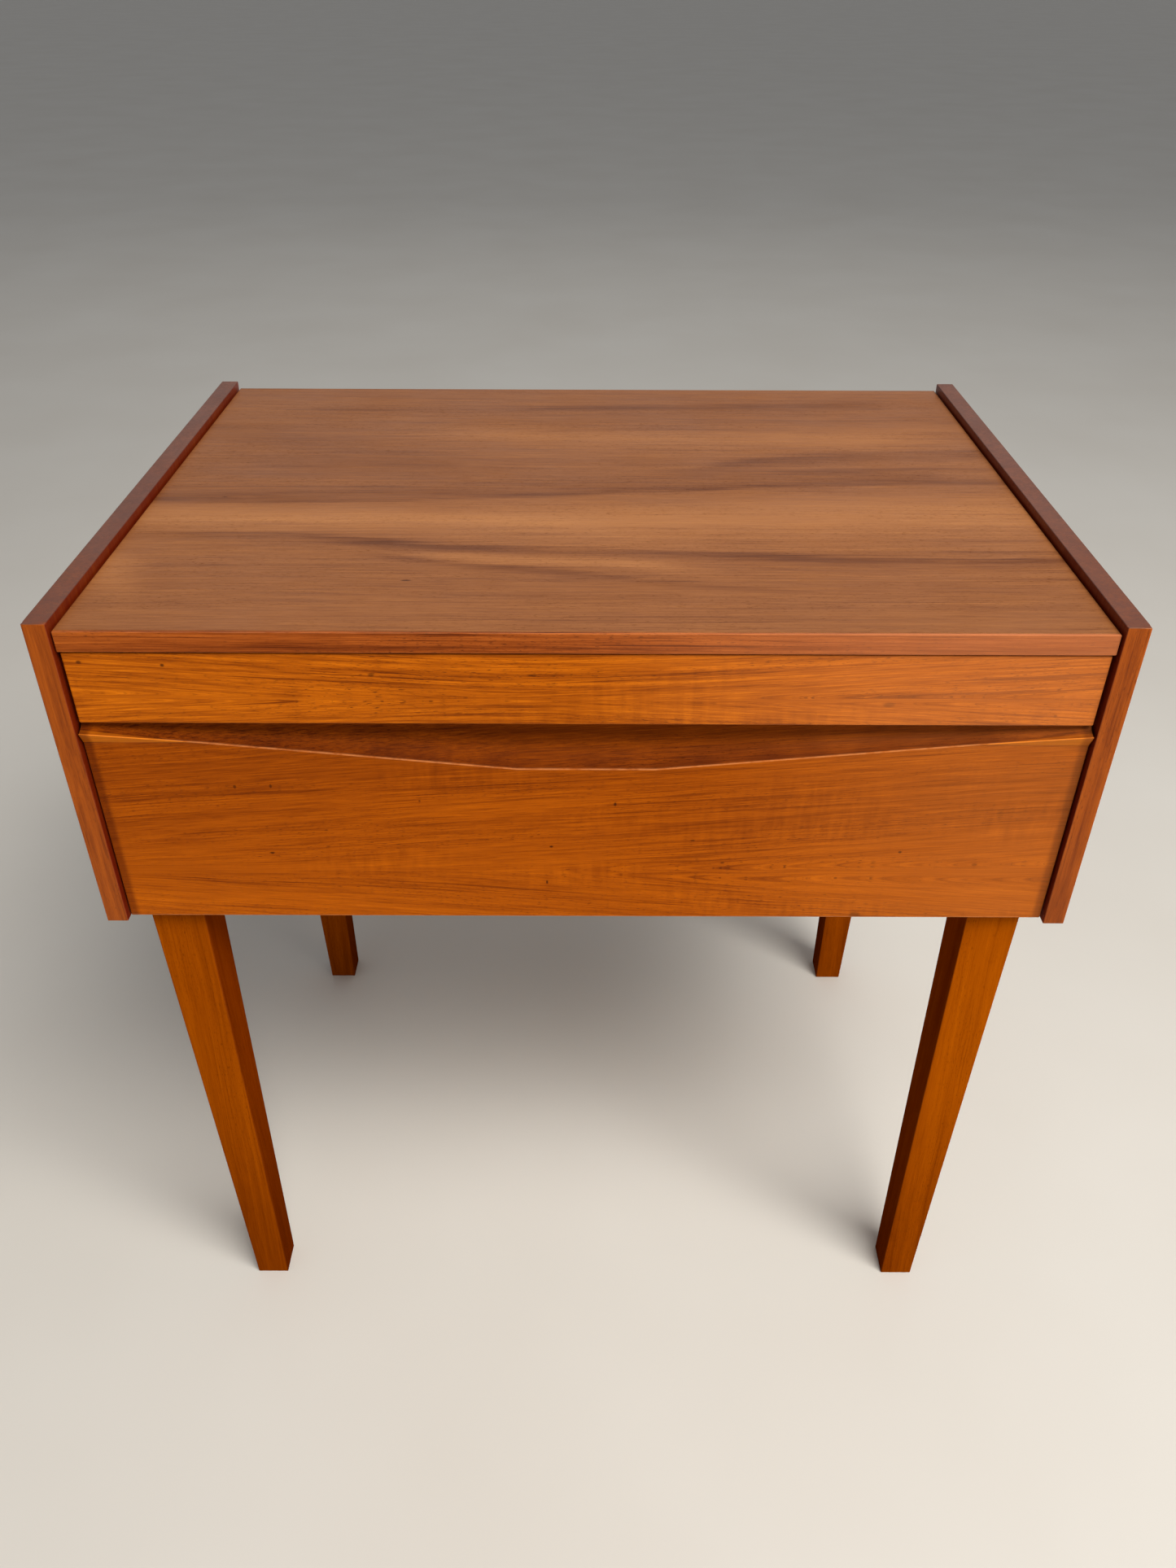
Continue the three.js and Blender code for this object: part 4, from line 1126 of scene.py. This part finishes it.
# ------------ pieces kept from the CAD
def dress_rest():
    """Finishes for the plain boards inside, whose CAD shape is right."""
    plain = [node for node in sorted(NODES) if not NODES[node].hide_render]
    for number, node in enumerate(plain, 1):
        low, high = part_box(node)
        size = high - low
        thinnest, middle, longest = sorted(range(3), key=lambda a: size[a])
        if SLOT_OF[node] == "plywood":
            material = plywood(
                f"ply_{node}", "xyz"[thinnest], "x", PLY_COLOUR, seed=number,
                plies=9 if node == "base_board" else 5, low=low[thinnest], high=high[thinnest],
            )
            dress_node(node, material, 0.25)
        else:
            material = wood(
                f"beech_{node}", "xyz"[longest], "xyz"[middle], BEECH_COLOUR, seed=number * 1.9,
                tone=0.05, ring=0.03, fibre=0.035, fine=0.03, lines=0.03, pores=0.3,
                pore_colour="7a4c26", gloss=0.5,
            )
            dress_node(node, material, 0.35)


# ------------ studio
FLOOR_RADIUS = 45.0
FLOOR_RINGS = 8
FLOOR_SPOKES = 64


def make_floor():
    """A plain pale floor, as a wide disc."""
    bm = bmesh.new()
    centre = bm.verts.new((0.0, 0.0, 0.0))
    last = None
    for ring in range(1, FLOOR_RINGS + 1):
        row = circle(bm, FLOOR_RADIUS * (ring / FLOOR_RINGS) ** 2.0, 0.0, FLOOR_SPOKES)
        for k in range(FLOOR_SPOKES):
            n = (k + 1) % FLOOR_SPOKES
            if last is None:
                bm.faces.new((centre, row[k], row[n]))
            else:
                bm.faces.new((last[k], row[k], row[n], last[n]))
        last = row
    floor = to_object("studio_floor", bm)
    web = Web("floor_paint")
    cloud = web.speckle(web.split("Object"), 3.0, 3.0, 0.5)
    colour = web.ramp(cloud, [(0.2, "c9c4bb"), (0.8, "cfcbc3")])
    floor.data.materials.append(web.finish(colour, 0.75, None))


def softbox(name, at, aim, size, power, colour=(1.0, 1.0, 1.0)):
    """A rectangular lamp at a place, turned to its aim."""
    data = bpy.data.lights.new(name, "AREA")
    data.shape = "RECTANGLE"
    data.size, data.size_y = size
    data.energy = power
    data.color = colour
    light = bpy.data.objects.new(name, data)
    light.visible_camera = False
    light.location = at
    light.rotation_euler = (Vector(aim) - Vector(at)).to_track_quat("-Z", "Y").to_euler()
    SCENE.collection.objects.link(light)


def make_studio():
    """The floor, the light of the room and three lamps."""
    make_floor()
    world = bpy.data.worlds.new("studio")
    SCENE.world = world
    world.use_nodes = True
    back = world.node_tree.nodes["Background"]
    back.inputs["Color"].default_value = (0.94, 0.96, 1.0, 1.0)
    back.inputs["Strength"].default_value = 0.30
    softbox("key", (0.95, -1.42, 2.7), (0.0, -0.1, 0.42), (1.7, 1.2), 108.0, (1.0, 0.97, 0.93))
    softbox("fill", (2.3, -1.9, 0.9), (0.0, 0.0, 0.4), (1.4, 1.2), 14.0)
    softbox("sheen", (0.0, 3.2, 2.6), (0.0, 0.0, 0.55), (4.0, 2.2), 10.0, (1.0, 0.98, 0.94))
    SCENE.view_settings.view_transform = "Standard"


make_camera()
make_top()
make_sides()
make_legs()
make_upper_front()
make_lower_front()
make_turned()
dress_rest()
make_studio()
